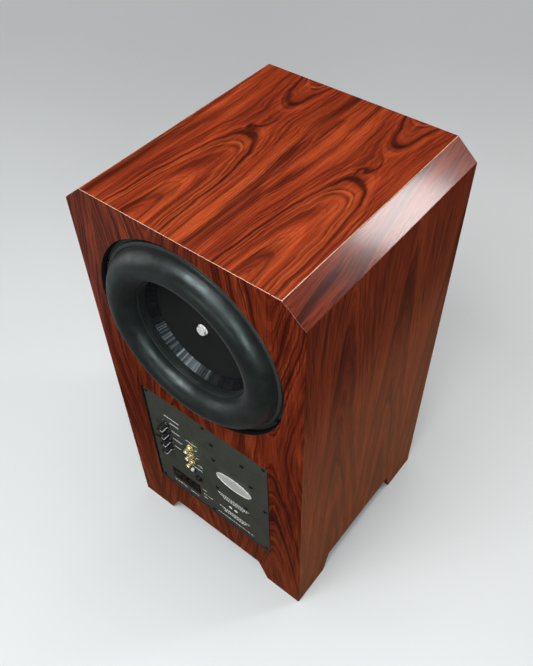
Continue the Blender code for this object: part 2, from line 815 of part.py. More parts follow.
def build_woofer_motor():
    plate_bottom = MAGNET_TOP + GAP
    plate_top = plate_bottom + TOP_PLATE_THICKNESS
    top_plate = [
        (TOP_PLATE_BORE, plate_top),
        (MOTOR_PLATE_RADIUS, plate_top),
        (MOTOR_PLATE_RADIUS, plate_bottom),
        (TOP_PLATE_BORE, plate_bottom),
    ]
    turned_part("woofer_top_plate", top_plate, "steel", WOOFER_PLACE, FRONT, MEDIUM_ROUND)
    magnet_bottom = MAGNET_TOP - MAGNET_THICKNESS
    magnet = [
        (MAGNET_BORE, MAGNET_TOP),
        (MAGNET_RADIUS, MAGNET_TOP),
        (MAGNET_RADIUS, magnet_bottom),
        (MAGNET_BORE, magnet_bottom),
    ]
    turned_part("woofer_magnet", magnet, "ferrite", WOOFER_PLACE, FRONT, MEDIUM_ROUND)
    back_top = magnet_bottom - GAP
    back_bottom = back_top - BACK_PLATE_THICKNESS
    pole = COIL_RADIUS - POLE_GAP
    back_plate = [
        (VENT_RADIUS, plate_top),
        (pole, plate_top),
        (pole, back_top),
        (MOTOR_PLATE_RADIUS, back_top),
        (MOTOR_PLATE_RADIUS, back_bottom),
        (VENT_RADIUS, back_bottom),
    ]
    turned_part("woofer_back_plate", back_plate, "steel", WOOFER_PLACE, FRONT, MEDIUM_ROUND)


# ---------------------------------------------------------------- amplifier


def plate_openings():
    """Holes in the amplifier plate for the controls and the sockets."""
    places = []
    for index in range(4):
        z = KNOB_TOP_Z - index * KNOB_PITCH
        places.append((f"knob_hole_{index}", SHAFT_RADIUS + 0.0006, KNOB_X, z))
    for index in range(3):
        z = JACK_TOP_Z - index * JACK_PITCH
        places.append((f"jack_hole_{index}", SOCKET_HOLE_RADIUS, JACK_X, z))
    places.append(("trigger_hole", SOCKET_HOLE_RADIUS, TRIGGER_X, TRIGGER_Z))
    reach = 0.02
    cutters = []
    for name, radius, x, z in places:
        cutters.append(round_cutter(name, radius, reach, x, z, PLATE_FACE_Y, SMALL_ROUND))
    width, height = SWITCH_LEVER
    slot = (width + 2 * GAP, reach, height + SWITCH_TRAVEL + 0.0010)
    slot_centre = (SWITCH_X, PLATE_FACE_Y, SWITCH_Z - SWITCH_TRAVEL / 2)
    cutters.append(box_cutter("switch_slot", slot, slot_centre))
    return cutters


def build_plate():
    middle_y = (PLATE_FACE_Y + PLATE_BACK_Y) / 2
    plate = add_part(
        "amp_plate",
        box_mesh("amp_plate", (PLATE_WIDTH, PLATE_THICKNESS, PLATE_HEIGHT)),
        "plate_grey",
        (0.0, middle_y, PLATE_CENTRE),
    )
    tray_wall = 0.002
    tray_bottom = PLATE_FACE_Y + WELL_DEPTH + tray_wall
    tray = box_cutter(
        "well_tray",
        (WELL_WIDTH + 2 * tray_wall, tray_bottom - middle_y, WELL_HEIGHT + 2 * tray_wall),
        (WELL_X, (tray_bottom + middle_y) / 2, WELL_Z),
    )
    join(plate, tray)
    well = box_cutter(
        "well_pocket",
        (WELL_WIDTH, 2 * WELL_DEPTH, WELL_HEIGHT),
        (WELL_X, PLATE_FACE_Y, WELL_Z),
    )
    window = box_cutter(
        "module_window",
        (MODULE_WIDTH - 0.004, 0.03, MODULE_HEIGHT - 0.004),
        (WELL_X, PLATE_FACE_Y, WELL_Z),
    )
    cut(plate, well, window, PLATE_HOLES, *plate_openings())


def build_plate_screws(places):
    mesh = profile_mesh("plate_screw", cap_screw_profile(PLATE_SCREW))
    for index, (x, z) in enumerate(places):
        head_y = PLATE_FACE_Y - GAP - PLATE_SCREW[1]
        screw = add_part(f"plate_screw_{index + 1}", mesh, "black_plastic", (x, head_y, z), REAR)
        turn(screw, SMALL_ROUND)


def build_knobs():
    """Four rotary controls, each with a pointer groove at three o'clock."""
    profile = [
        (0.0, KNOB_LENGTH),
        (KNOB_RADIUS - 0.0007, KNOB_LENGTH),
        (KNOB_RADIUS, KNOB_LENGTH - 0.0007),
        (KNOB_RADIUS + 0.0004, 0.0006),
        (SHAFT_RADIUS, 0.0006),
        (SHAFT_RADIUS, -PLATE_THICKNESS - 0.0030),
        (0.0, -PLATE_THICKNESS - 0.0030),
    ]
    mesh = profile_mesh("control_knob", profile)
    for index, name in enumerate(("level_knob", "lowpass_knob", "phase_knob", "contour_knob")):
        z = KNOB_TOP_Z - index * KNOB_PITCH
        knob = add_part(name, mesh, "black_plastic", (KNOB_X, PLATE_FACE_Y, z), REAR)
        turn(knob, SMALL_ROUND)
        groove = box_cutter(
            f"{name}_groove",
            (KNOB_RADIUS, 0.0010, 0.0010),
            (KNOB_X + KNOB_RADIUS / 2 + 0.0010, PLATE_FACE_Y - KNOB_LENGTH, z),
        )
        cut(knob, groove)


def build_jacks():
    """Gold phono sockets with a round collar, and a black trigger socket."""
    profile = [
        (0.0, JACK_LENGTH / 2),
        (0.0016, JACK_LENGTH / 2),
        (0.0016, JACK_LENGTH),
        (0.0041, JACK_LENGTH),
        (0.0041, JACK_COLLAR),
        (0.0060, JACK_COLLAR),
        (0.0060, GAP),
        (0.0042, GAP),
        (0.0042, -SOCKET_DEPTH),
        (0.0, -SOCKET_DEPTH),
    ]
    mesh = profile_mesh("phono_jack", profile)
    for index, name in enumerate(("left_input_jack", "right_input_jack", "lfe_input_jack")):
        place = (JACK_X, PLATE_FACE_Y, JACK_TOP_Z - index * JACK_PITCH)
        turn(add_part(name, mesh, "gold", place, REAR), SMALL_ROUND)
    trigger = [
        (0.0, -0.0040),
        (0.0018, -0.0040),
        (0.0018, TRIGGER_LENGTH),
        (0.0042, TRIGGER_LENGTH),
        (0.0042, TRIGGER_COLLAR),
        (0.0062, TRIGGER_COLLAR),
        (0.0062, GAP),
        (0.0042, GAP),
        (0.0042, -SOCKET_DEPTH),
        (0.0, -SOCKET_DEPTH),
    ]
    place = (TRIGGER_X, PLATE_FACE_Y, TRIGGER_Z)
    turned_part("trigger_jack", trigger, "black_plastic", place, REAR, SMALL_ROUND)


def build_mode_switch():
    """The lever of a two-position slide switch, at the top of its slot."""
    tip = PLATE_FACE_Y - SWITCH_RISE
    foot = PLATE_BACK_Y + 0.0020
    width, height = SWITCH_LEVER
    mesh = box_mesh("mode_switch", (width, foot - tip, height))
    add_part("mode_switch", mesh, "white_plastic", (SWITCH_X, (tip + foot) / 2, SWITCH_Z))


def build_mains_module():
    """Inlet, fuse drawer and power switch in one housing in the plate's well."""
    flange_y = PLATE_FACE_Y + WELL_DEPTH - GAP
    module = add_part(
        "mains_module",
        box_mesh("mains_module", (MODULE_WIDTH, MODULE_FLANGE, MODULE_HEIGHT)),
        "black_plastic",
        (WELL_X, flange_y - MODULE_FLANGE / 2, WELL_Z),
    )
    margin = MODULE_FLANGE_MARGIN
    body = box_cutter(
        "module_body",
        (MODULE_WIDTH - margin, MODULE_DEPTH, MODULE_HEIGHT - margin),
        (WELL_X, flange_y - MODULE_FLANGE / 2 + MODULE_DEPTH / 2, WELL_Z),
    )
    join(module, body)
    socket = box_cutter("inlet_socket", SOCKET_OPENING, (INLET_X, flange_y, WELL_Z + SOCKET_RISE))
    drawer = box_cutter("drawer_slot", DRAWER_OPENING, (INLET_X, flange_y, DRAWER_Z))
    rocker = box_cutter("rocker_slot", ROCKER_OPENING, (ROCKER_X, flange_y, WELL_Z))
    cut(module, socket, drawer, rocker)
    for index, (x, z) in enumerate(PINS):
        place = (INLET_X + x, flange_y + PIN_SETBACK, WELL_Z + z)
        join(module, box_cutter(f"inlet_pin_{index}", PIN_SIZE, place))
    face_y = flange_y - MODULE_FLANGE - DRAWER_LIP
    fuse = add_part(
        "fuse_drawer",
        box_mesh("fuse_drawer", DRAWER_SIZE),
        "black_plastic",
        (INLET_X, face_y + DRAWER_SIZE[1] / 2, DRAWER_Z),
    )
    grip = box_cutter("drawer_grip", (0.0120, 0.0016, 0.0020), (INLET_X, face_y, DRAWER_Z))
    cut(fuse, grip)


def build_rocker():
    """The power switch's rocker, tilted to its lower position on a pivot along X."""
    half = ROCKER_HALF
    outline = [
        (-0.0060, half),
        (-0.0034, 0.0),
        (-0.0060, -half),
        (0.0000, -half),
        (0.0040, -0.0030),
        (0.0040, 0.0030),
        (0.0000, half),
    ]
    mesh = prism_mesh("power_rocker", outline, ROCKER_WIDTH)
    upright = Matrix(((0, 0, 1, 0), (1, 0, 0, 0), (0, 1, 0, 0), (0, 0, 0, 1)))
    mesh.transform(Matrix.Rotation(math.radians(ROCKER_TILT), 4, "X") @ upright)
    pivot_y = PLATE_FACE_Y + WELL_DEPTH + ROCKER_PIVOT_DEPTH
    add_part("power_rocker", mesh, "black_plastic", (ROCKER_X, pivot_y, WELL_Z))


def build_badge():
    """A blank oval badge."""
    outline = ellipse(BADGE_WIDTH, BADGE_HEIGHT, LARGE_ROUND)
    mesh = prism_mesh("badge_plate", outline, BADGE_THICKNESS)
    place = (BADGE_X, PLATE_FACE_Y - GAP - BADGE_THICKNESS / 2, BADGE_Z)
    add_part("badge_plate", mesh, "silver_badge", place, REAR)


def build_heat_sink():
    """A finned extrusion bolted behind the plate."""
    pitch = HEAT_SINK_WIDTH / (HEAT_SINK_FINS - 0.5)
    outline = [(0.0, 0.0)]
    for index in range(HEAT_SINK_FINS):
        left = index * pitch
        right = left + pitch / 2
        outline += [(left, HEAT_SINK_REACH), (right, HEAT_SINK_REACH)]
        if index < HEAT_SINK_FINS - 1:
            outline += [(right, HEAT_SINK_BASE), (left + pitch, HEAT_SINK_BASE)]
    outline.append((HEAT_SINK_WIDTH, 0.0))
    mesh = prism_mesh("heat_sink", outline, HEAT_SINK_HEIGHT)
    add_part("heat_sink", mesh, "aluminium", (HEAT_SINK_X, PLATE_BACK_Y + GAP, HEAT_SINK_Z))


def build_circuit_board():
    """The board behind the controls, with its four potentiometers and the switch body."""
    board_y = PLATE_BACK_Y + BOARD_SETBACK
    board = add_part(
        "circuit_board",
        box_mesh("circuit_board", BOARD_SIZE),
        "circuit_green",
        (BOARD_X, board_y, BOARD_Z),
    )
    pot_front = PLATE_BACK_Y + 0.0030 + GAP
    for index in range(4):
        z = KNOB_TOP_Z - index * KNOB_PITCH
        pot = cylinder_mesh(f"pot_body_{index}", POT_RADIUS, board_y - pot_front, SMALL_ROUND)
        join(board, add_cutter(pot.name, pot, (KNOB_X, (board_y + pot_front) / 2, z), REAR))
    switch_front = PLATE_BACK_Y + 0.0020 + GAP
    switch_size = (0.0100, board_y - switch_front, 0.0160)
    switch_centre = (SWITCH_X, (board_y + switch_front) / 2, SWITCH_Z - SWITCH_TRAVEL / 2)
    join(board, box_cutter("switch_body", switch_size, switch_centre))


def build_transformer():
    """A toroidal mains transformer standing behind the plate."""
    bpy.ops.mesh.primitive_torus_add(
        major_segments=20,
        minor_segments=8,
        major_radius=TORUS_RADIUS,
        minor_radius=TORUS_THICKNESS,
        location=(TORUS_X, PLATE_BACK_Y + GAP + TORUS_THICKNESS + 0.0005, TORUS_Z),
        rotation=REAR,
    )
    transformer = bpy.context.active_object
    transformer.name = "transformer"
    transformer.data.name = "transformer"
    transformer.data.materials.append(MATERIALS["copper"])
    transformer.data.shade_smooth()
    for collection in list(transformer.users_collection):
        collection.objects.unlink(transformer)
    PARTS.objects.link(transformer)


def build_cable():
    """The lead from the amplifier to the driver's terminals."""
    path = [
        (CABLE_X, -0.150, CABLE_Z),
        (CABLE_X, -0.040, CABLE_Z),
        (CABLE_X - 0.010, -0.010, CABLE_Z + 0.010),
        (CABLE_X - 0.040, 0.030, CABLE_Z + 0.070),
        (CABLE_X - 0.040, 0.055, CABLE_Z + 0.140),
        (CABLE_X - 0.025, 0.100, CABLE_Z + 0.170),
    ]
    curve = bpy.data.curves.new("speaker_cable", "CURVE")
    curve.dimensions = "3D"
    curve.bevel_depth = CABLE_RADIUS
    curve.bevel_resolution = 2
    curve.use_fill_caps = True
    spline = curve.splines.new("POLY")
    spline.points.add(len(path) - 1)
    for point, place in zip(spline.points, path):
        point.co = (*place, 1.0)
    cable = bpy.data.objects.new("speaker_cable", curve)
    curve.materials.append(MATERIALS["rubber"])
    PARTS.objects.link(cable)


# ---------------------------------------------------------------- assembly

clear_scene()
MATERIALS = make_materials()
PARTS = new_collection("subwoofer_cabinet")
CUTTERS = new_collection("cutters")
RADIATOR_SCREW_PLACES = screw_places(UNIT_SCREWS, UNIT_SCREW_CIRCLE)
PLATE_SCREW_PLACES = plate_screw_places()
RADIATOR_HOLES = pilot_holes(
    "radiator_screw_holes",
    RADIATOR_SCREW_PLACES,
    UNIT_PILOT_RADIUS,
    -HALF_DEPTH - 0.010,
    -HALF_DEPTH + 0.022,
)
PLATE_HOLES = pilot_holes(
    "plate_screw_holes",
    PLATE_SCREW_PLACES,
    PLATE_PILOT_RADIUS,
    -HALF_DEPTH - 0.010,
    -HALF_DEPTH + 0.016,
)

build_panels()
build_bottom()
build_brace()
build_amp_chamber()
build_damping()
build_radiator()
build_radiator_mover()
build_unit_screws(RADIATOR_SCREW_PLACES)
build_woofer_frame()
build_woofer_mover()
build_woofer_motor()
build_plate()
build_plate_screws(PLATE_SCREW_PLACES)
build_knobs()
build_jacks()
build_mode_switch()
build_mains_module()
build_rocker()
build_badge()
build_heat_sink()
build_circuit_board()
build_transformer()
build_cable()
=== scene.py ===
"""Looks for the floor-standing subwoofer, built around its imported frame.

The service face looks along -Y and carries the passive radiator and the amplifier plate.
The active driver sits in the opposite face. Sizes are in metres.
Round and flat pieces are drawn in face coordinates: right, up and outward for somebody
looking at that face. Heights are measured outward from that face or from the plate.
A profile is a list of (x, y) or (x, y, radius) corners. One without a radius stays sharp.
"""

import json
import math

import bmesh
import bpy
import numpy as np
from mathutils import Matrix, Vector


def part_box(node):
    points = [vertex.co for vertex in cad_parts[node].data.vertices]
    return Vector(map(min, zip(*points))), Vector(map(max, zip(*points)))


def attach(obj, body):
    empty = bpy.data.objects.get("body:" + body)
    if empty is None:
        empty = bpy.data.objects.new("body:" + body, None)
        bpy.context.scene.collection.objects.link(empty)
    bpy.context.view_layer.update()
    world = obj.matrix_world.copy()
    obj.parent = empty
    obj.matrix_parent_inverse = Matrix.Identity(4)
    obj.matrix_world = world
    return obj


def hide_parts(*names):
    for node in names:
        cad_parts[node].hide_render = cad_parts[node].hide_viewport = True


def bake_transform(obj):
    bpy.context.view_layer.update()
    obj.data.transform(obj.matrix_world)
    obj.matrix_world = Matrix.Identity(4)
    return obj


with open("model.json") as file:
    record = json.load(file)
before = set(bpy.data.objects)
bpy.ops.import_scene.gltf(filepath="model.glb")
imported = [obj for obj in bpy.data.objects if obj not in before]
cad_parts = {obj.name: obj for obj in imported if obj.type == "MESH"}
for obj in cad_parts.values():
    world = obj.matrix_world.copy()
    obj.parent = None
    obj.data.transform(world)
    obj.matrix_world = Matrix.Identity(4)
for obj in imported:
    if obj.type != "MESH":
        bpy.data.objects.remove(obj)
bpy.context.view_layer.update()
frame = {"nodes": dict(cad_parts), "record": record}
RNG = np.random.default_rng(7)


def centre_of(node):
    """The middle of a solid, as (x, z)."""
    low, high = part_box(node)
    return (low.x + high.x) / 2, (low.z + high.z) / 2


# ---------------- places taken from the frame

SIDE_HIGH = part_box("right_side_panel")[1]
TOP_LOW, TOP_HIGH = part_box("top_panel")
REAR_LOW, REAR_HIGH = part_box("rear_baffle")
HALF_WIDTH = SIDE_HIGH.x
HALF_DEPTH = -REAR_LOW.y
HEIGHT = TOP_HIGH.z
BEVEL_WIDTH = HALF_WIDTH - TOP_HIGH.x
BEVEL_DROP = HEIGHT - SIDE_HIGH.z
WALL = TOP_HIGH.z - TOP_LOW.z
BAFFLE = REAR_HIGH.y - REAR_LOW.y
UNIT_Z = centre_of("radiator_frame")[1]
FLANGE_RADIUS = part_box("radiator_frame")[1].x
PLATE_LOW, PLATE_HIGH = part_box("amp_plate")
PLATE_Y = PLATE_LOW.y
PLATE_WIDTH = PLATE_HIGH.x - PLATE_LOW.x
PLATE_HEIGHT = PLATE_HIGH.z - PLATE_LOW.z
PLATE_MIDDLE = centre_of("amp_plate")[1]
SWITCH_X, SWITCH_Z = centre_of("mode_switch")

EDGE_RADIUS = 0.0012
SEAM = 0.00001
CLEAR = 0.01
RECESS_RADIUS = 0.1597
RECESS_DEPTH = 0.0140
OPENING_RADIUS = 0.1435
FLANGE_TOP = -0.0085
FLANGE_BOTTOM = -0.0135
SCREW_CIRCLE = 0.1548
SCREWS = 8
REBATE_MARGIN = 0.0030
NOTCH_RISE = 0.046
REAR_NOTCH = (0.2400, 0.2000)
SIDE_NOTCH = (0.2240, 0.1960)


def face_place(x, y, z, side):
    """Face coordinates at a point: side is -1 for the service face and 1 for the driver's face."""
    return Matrix(((-side, 0, 0, x), (0, 0, side, y), (0, 1, 0, z), (0, 0, 0, 1)))


def on_plate(x, z):
    """Face coordinates at a point of the amplifier plate's surface."""
    return face_place(x, PLATE_Y, z, -1)


def spin(angle):
    """A turn about the outward direction."""
    return Matrix.Rotation(angle, 4, "Z")


SERVICE = face_place(0.0, -HALF_DEPTH, UNIT_Z, -1)
DRIVER = face_place(0.0, HALF_DEPTH, UNIT_Z, 1)
THROUGH = face_place(0.0, 0.0, 0.0, -1)
PLATE = on_plate(0.0, 0.0)

# ---------------- material nodes


class Nodes:
    """A material's node tree, built one node at a time."""

    def __init__(self, name):
        self.material = bpy.data.materials.new(name)
        self.material.use_nodes = True
        self.tree = self.material.node_tree
        self.tree.nodes.clear()
        output = self.tree.nodes.new("ShaderNodeOutputMaterial")
        self.bsdf = self.tree.nodes.new("ShaderNodeBsdfPrincipled")
        self.tree.links.new(self.bsdf.outputs[0], output.inputs[0])
        self.place = self.tree.nodes.new("ShaderNodeTexCoord").outputs["Object"]

    def put(self, socket, value):
        if isinstance(value, bpy.types.NodeSocket):
            self.tree.links.new(value, socket)
        elif isinstance(value, tuple) and len(value) == 3 and socket.type == "RGBA":
            socket.default_value = (*value, 1.0)
        else:
            socket.default_value = value

    def node(self, kind, inputs, **settings):
        made = self.tree.nodes.new(kind)
        for key, value in settings.items():
            setattr(made, key, value)
        for key, value in inputs.items():
            self.put(made.inputs[key], value)
        return made

    def finish(self, **inputs):
        for key, value in inputs.items():
            self.put(self.bsdf.inputs[key.replace("_", " ")], value)
        return self.material

    def math(self, operation, a, b=0.0, c=0.0):
        return self.node("ShaderNodeMath", {0: a, 1: b, 2: c}, operation=operation).outputs[0]

    def add(self, a, b):
        return self.math("ADD", a, b)

    def less(self, a, b):
        return self.math("SUBTRACT", a, b)

    def times(self, a, b):
        return self.math("MULTIPLY", a, b)

    def length(self, a, b):
        return self.math("SQRT", self.add(self.times(a, a), self.times(b, b)))

    def split(self, vector):
        return self.node("ShaderNodeSeparateXYZ", {0: vector}).outputs

    def join(self, x, y, z):
        return self.node("ShaderNodeCombineXYZ", {0: x, 1: y, 2: z}).outputs[0]

    def stretched(self, *rates):
        inputs = {0: self.place, 1: rates}
        return self.node("ShaderNodeVectorMath", inputs, operation="MULTIPLY").outputs[0]

    def noise(self, vector, scale, detail=2.0, roughness=0.5):
        inputs = {"Vector": vector, "Scale": scale, "Detail": detail, "Roughness": roughness}
        return self.node("ShaderNodeTexNoise", inputs).outputs[0]

    def line_noise(self, value, scale, detail=1.0):
        inputs = {"W": value, "Scale": scale, "Detail": detail}
        return self.node("ShaderNodeTexNoise", inputs, noise_dimensions="1D").outputs[0]

    def between(self, value, low, high, out_low=0.0, out_high=1.0):
        """A smooth step from out_low to out_high as the value goes from low to high."""
        inputs = {0: value, 1: low, 2: high, 3: out_low, 4: out_high}
        smooth = {"interpolation_type": "SMOOTHSTEP", "clamp": True}
        return self.node("ShaderNodeMapRange", inputs, **smooth).outputs[0]

    def stripe(self, value, low, high, strength=1.0):
        """Full where the value is near zero, fading out between two distances from it."""
        return self.between(self.math("ABSOLUTE", value), low, high, strength, 0.0)

    def ramp(self, value, stops):
        made = self.node("ShaderNodeValToRGB", {0: value})
        elements = made.color_ramp.elements
        while len(elements) < len(stops):
            elements.new(0.5)
        for element, (position, colour) in zip(elements, stops):
            element.position = position
            element.color = (*colour, 1.0)
        return made.outputs[0]

    def mix(self, share, a, b, blend="MIX"):
        made = self.node("ShaderNodeMix", {}, data_type="RGBA", blend_type=blend)
        for index, value in ((0, share), (6, a), (7, b)):
            self.put(made.inputs[index], value)
        return made.outputs[2]

    def shaded(self, colour, shade):
        """A colour made lighter or darker by a number."""
        return self.mix(1.0, colour, self.join(shade, shade, shade), "MULTIPLY")

    def bump(self, height, distance, strength=1.0, normal=None):
        inputs = {"Height": height, "Distance": distance, "Strength": strength}
        if normal is not None:
            inputs["Normal"] = normal
        return self.node("ShaderNodeBump", inputs).outputs[0]


# ---------------- veneer

DARK, DEEP = 0, 1
# The wood's shades, from the dark lines to the light ground.
WOOD = (
    (0.036, 0.0050, 0.0026),
    (0.120, 0.0140, 0.0048),
    (0.255, 0.0315, 0.0085),
    (0.410, 0.0680, 0.0165),
)
# Layers of grain: rate along it, scale, detail, shift and strength.
OFFSET_GRAIN = (
    (0.30, 9.0, 1.0, 0.0, 0.030),
    (0.40, 38.0, 2.0, 0.0, 0.010),
    (0.16, 190.0, 3.0, 0.0, 0.003),
)
PITH_GRAIN = ((1.0, 13.0, 2.0, 2.0, 0.014),)
SPUR_GRAIN = ((0.6, 30.0, 2.0, 9.0, 0.050),)
TONE_GRAIN = (
    (0.160, 20.0, 3.0, 8.0, 0.48),
    (0.045, 260.0, 3.0, 1.0, 0.42),
    (0.022, 640.0, 3.0, 3.0, 0.78),
)
FADES = ((0.14, 34.0, 2.0, 4.0), (0.10, 60.0, 2.0, 6.0))
# Growth lines: scale, width, shift, which of the fades breaks them up, strength and wood.
GROWTH_LINES = (
    (520.0, 0.160, 0.3, 0, 0.34, DEEP),
    (300.0, 0.060, 0.9, 1, 0.55, DARK),
    (170.0, 0.065, 0.7, 0, 0.62, DARK),
    (95.0, 0.050, 0.5, 0, 0.40, DARK),
    (50.0, 0.050, 0.1, 1, 0.90, DARK),
)


class Wood(Nodes):
    """Wood in matched leaves, with its own coordinates across and along the grain."""

    def __init__(self, name, axes, leaf, pitch, seed, painted_light_scale):
        super().__init__(name)
        # Every shade is scaled by the face's brightness factor: painted light and shade, not a different
        # wood.
        self.shades = [tuple(part * painted_light_scale for part in shade) for shade in WOOD]
        parts = self.split(self.place)
        across, self.along = (parts["XYZ".index(axis)] for axis in axes)
        if name == "veneer_bevel":
            across = self.less(self.math("ABSOLUTE", across), self.times(parts[2], 0.85))
        shifted = self.less(across, leaf)
        cell = self.math("FLOOR", self.add(self.math("DIVIDE", shifted, pitch), 0.5))
        self.across = self.math("WRAP", shifted, pitch / 2, -pitch / 2)
        self.depth = self.add(self.times(cell, 0.010), seed)

    def grain(self, rate, scale, detail, shift=0.0):
        """Noise drawn out along the grain, about zero."""
        place = self.join(self.across, self.times(self.along, rate), self.add(self.depth, shift))
        return self.less(self.noise(place, scale, detail), 0.5)

    def grained(self, value, layers):
        for *layer, strength in layers:
            value = self.add(value, self.times(self.grain(*layer), strength))
        return value

    def rings(self, saddle, pith, rise, spread):
        """The place across the grain, and the growth ring that is cut there."""
        offset = self.grained(self.across, OFFSET_GRAIN)
        climb = self.length(self.less(self.along, saddle), 0.020)
        under = self.grained(self.less(pith, self.times(climb, rise)), PITH_GRAIN)
        return offset, self.less(self.length(offset, under), self.times(climb, spread))

    def growth_lines(self, colour, ring, fades):
        """Lines where a slow noise of the ring crosses its middle."""
        for scale, width, shift, fade, strength, shade in GROWTH_LINES:
            wave = self.less(self.line_noise(self.add(ring, shift), scale), 0.5)
            line = self.times(self.stripe(wave, 0.0, width), fades[fade])
            colour = self.mix(self.times(line, strength), colour, self.shades[shade])
        return colour

    def bold_rings(self, colour, ring, rings, fade):
        """The boldest rings: a dark core with a shadow on its inner side."""
        for value, strength in rings:
            gap = self.less(ring, value)
            outside = self.between(gap, 0.0005, 0.0022, 1.0, 0.0)
            shadow = self.times(self.between(gap, -0.0060, 0.0, 0.0, 0.70), outside)
            power = self.times(self.between(fade, 0.1, 1.0, 0.75, 1.0), strength)
            colour = self.mix(self.times(shadow, power), colour, self.shades[DEEP])
            core = self.stripe(gap, 0.0005, 0.0018)
            colour = self.mix(self.times(core, power), colour, self.shades[DARK])
        return colour

    def spur(self, colour, offset, start, end):
        """A dark spear that runs on along the grain from the arch's tip."""
        bend = self.grained(offset, SPUR_GRAIN)
        tail = self.between(self.along, end - 0.020, end, 1.0, 0.0)
        reach = self.times(self.between(self.along, start, start + 0.008), tail)
        for low, high, shade in ((0.0012, 0.0052, DEEP), (0.0004, 0.0024, DARK)):
            spear = self.times(self.stripe(bend, low, high, 0.9), reach)
            colour = self.mix(spear, colour, self.shades[shade])
        return colour


def veneer(name, axes, leaf, pitch, figure, seed, painted_light_scale, veil=1.0):
    """Rosewood: cathedral figure cut in matched leaves, with dark veins, fibres and fine pores.

    The figure gives the saddle's place along the grain, the pith's depth there, how fast the
    growth rings rise away from it, how fast they spread, the boldest rings as (ring, strength)
    and where a spur starts and ends. The veil scales the lacquer's shine.
    """
    saddle, pith, rise, spread, bold, spur = figure
    # The brightness factor lightens or darkens this face's whole wood: painted light and shade.
    n = Wood(name, axes, leaf, pitch, seed, painted_light_scale)
    offset, ring = n.rings(saddle, pith, rise, spread)
    seeded = n.add(ring, seed)
    fades = [n.between(n.grain(*fade), -0.16, 0.16, 0.10, 1.0) for fade in FADES]
    tone = n.grained(n.add(n.times(n.line_noise(seeded, 60.0, 4.0), 0.58), 0.185), TONE_GRAIN)
    colour = n.ramp(tone, list(zip((0.22, 0.46, 0.72), n.shades[DEEP:])))
    colour = n.growth_lines(colour, seeded, fades)
    colour = n.bold_rings(colour, ring, bold, fades[1])
    if spur:
        colour = n.spur(colour, offset, *spur)
    fibre = n.grain(0.020, 1500.0, 2.0)
    pores = n.between(n.grain(0.040, 1900.0, 1.0, 5.0), 0.11, 0.20)
    colour = n.shaded(colour, n.between(fibre, -0.25, 0.25, 0.84, 1.12))
    height = n.add(n.less(n.times(fibre, 0.35), pores), n.times(n.noise(n.place, 34.0, 1.0), 2.4))
    return n.finish(
        Base_Color=n.mix(n.times(pores, 0.40), colour, n.shades[DARK]),
        Roughness=n.add(n.between(fibre, -0.3, 0.3, 0.27, 0.35), n.times(pores, 0.10)),
        Specular_IOR_Level=0.17 * veil,
        Coat_Weight=0.40 * veil,
        Coat_Roughness=0.135,
        Normal=n.bump(height, 0.00003),
    )


# ---------------- other materials


def painted_edge_highlight_material():
    """A pale line painted along rounded edges: a painted highlight, broken up in patches, with the
    lacquer left over it.
    """
    n = Nodes("painted_edge_highlight")
    highlight_patches = n.between(n.noise(n.place, 160.0, 4.0, 0.7), 0.30, 0.50)
    return n.finish(
        Base_Color=n.mix(highlight_patches, (0.30, 0.10, 0.05), (0.60, 0.42, 0.30)),
        Roughness=n.between(highlight_patches, 0.0, 1.0, 0.34, 0.24),
        Coat_Weight=0.5,
        Coat_Roughness=0.15,
        Normal=n.bump(highlight_patches, 0.00003),
    )


def painted(name, colour, roughness, grain, depth):
    """Paint or powder coat: a fine orange-peel surface and a little unevenness of gloss."""
    n = Nodes(name)
    peel = n.noise(n.place, grain, 3.0, 0.6)
    cloud = n.between(n.noise(n.place, 22.0, 3.0), 0.3, 0.7, 0.92, 1.06)
    uneven = n.noise(n.place, 60.0, 4.0)
    return n.finish(
        Base_Color=n.shaded(colour, n.add(cloud, n.between(peel, 0.3, 0.7, -0.05, 0.05))),
        Roughness=n.between(uneven, 0.3, 0.7, roughness - 0.04, roughness + 0.05),
        Coat_Roughness=0.08,
        Normal=n.bump(peel, depth),
    )


def metal(name, colour, roughness, lines=(400.0, 400.0, 400.0), scratch=0.00001, metallic=1.0):
    """Machined or plated metal with fine tool lines and slightly uneven polish."""
    n = Nodes(name)
    tool = n.noise(n.stretched(*lines), 4.0, 3.0, 0.65)
    haze = n.noise(n.place, 140.0, 3.0)
    return n.finish(
        Base_Color=n.shaded(colour, n.between(tool, 0.3, 0.7, 0.93, 1.04)),
        Metallic=metallic,
        Roughness=n.between(haze, 0.3, 0.7, roughness * 0.75, roughness * 1.4),
        Normal=n.bump(tool, scratch),
    )


def rubber_material():
    """Black rubber, dusty in patches, with slow dents, shallow pocks and a fine skin."""
    n = Nodes("rubber_roll")
    dust = n.between(n.noise(n.place, 26.0, 4.0, 0.55), 0.42, 0.75)
    dents = n.bump(n.noise(n.place, 34.0, 2.0, 0.5), 0.0009)
    pocks = n.bump(n.noise(n.place, 160.0, 4.0, 0.65), 0.00010, normal=dents)
    skin = n.noise(n.place, 900.0, 3.0, 0.6)
    return n.finish(
        Base_Color=n.mix(n.times(dust, 0.35), (0.0070, 0.0084, 0.0074), (0.017, 0.020, 0.018)),
        Roughness=n.between(n.noise(n.place, 55.0, 4.0), 0.3, 0.7, 0.32, 0.48),
        Specular_IOR_Level=0.60,
        Specular_Tint=(0.86, 1.0, 0.99),
        Sheen_Weight=0.05,
        Sheen_Roughness=0.5,
        Normal=n.bump(skin, 0.00003, normal=pocks),
    )


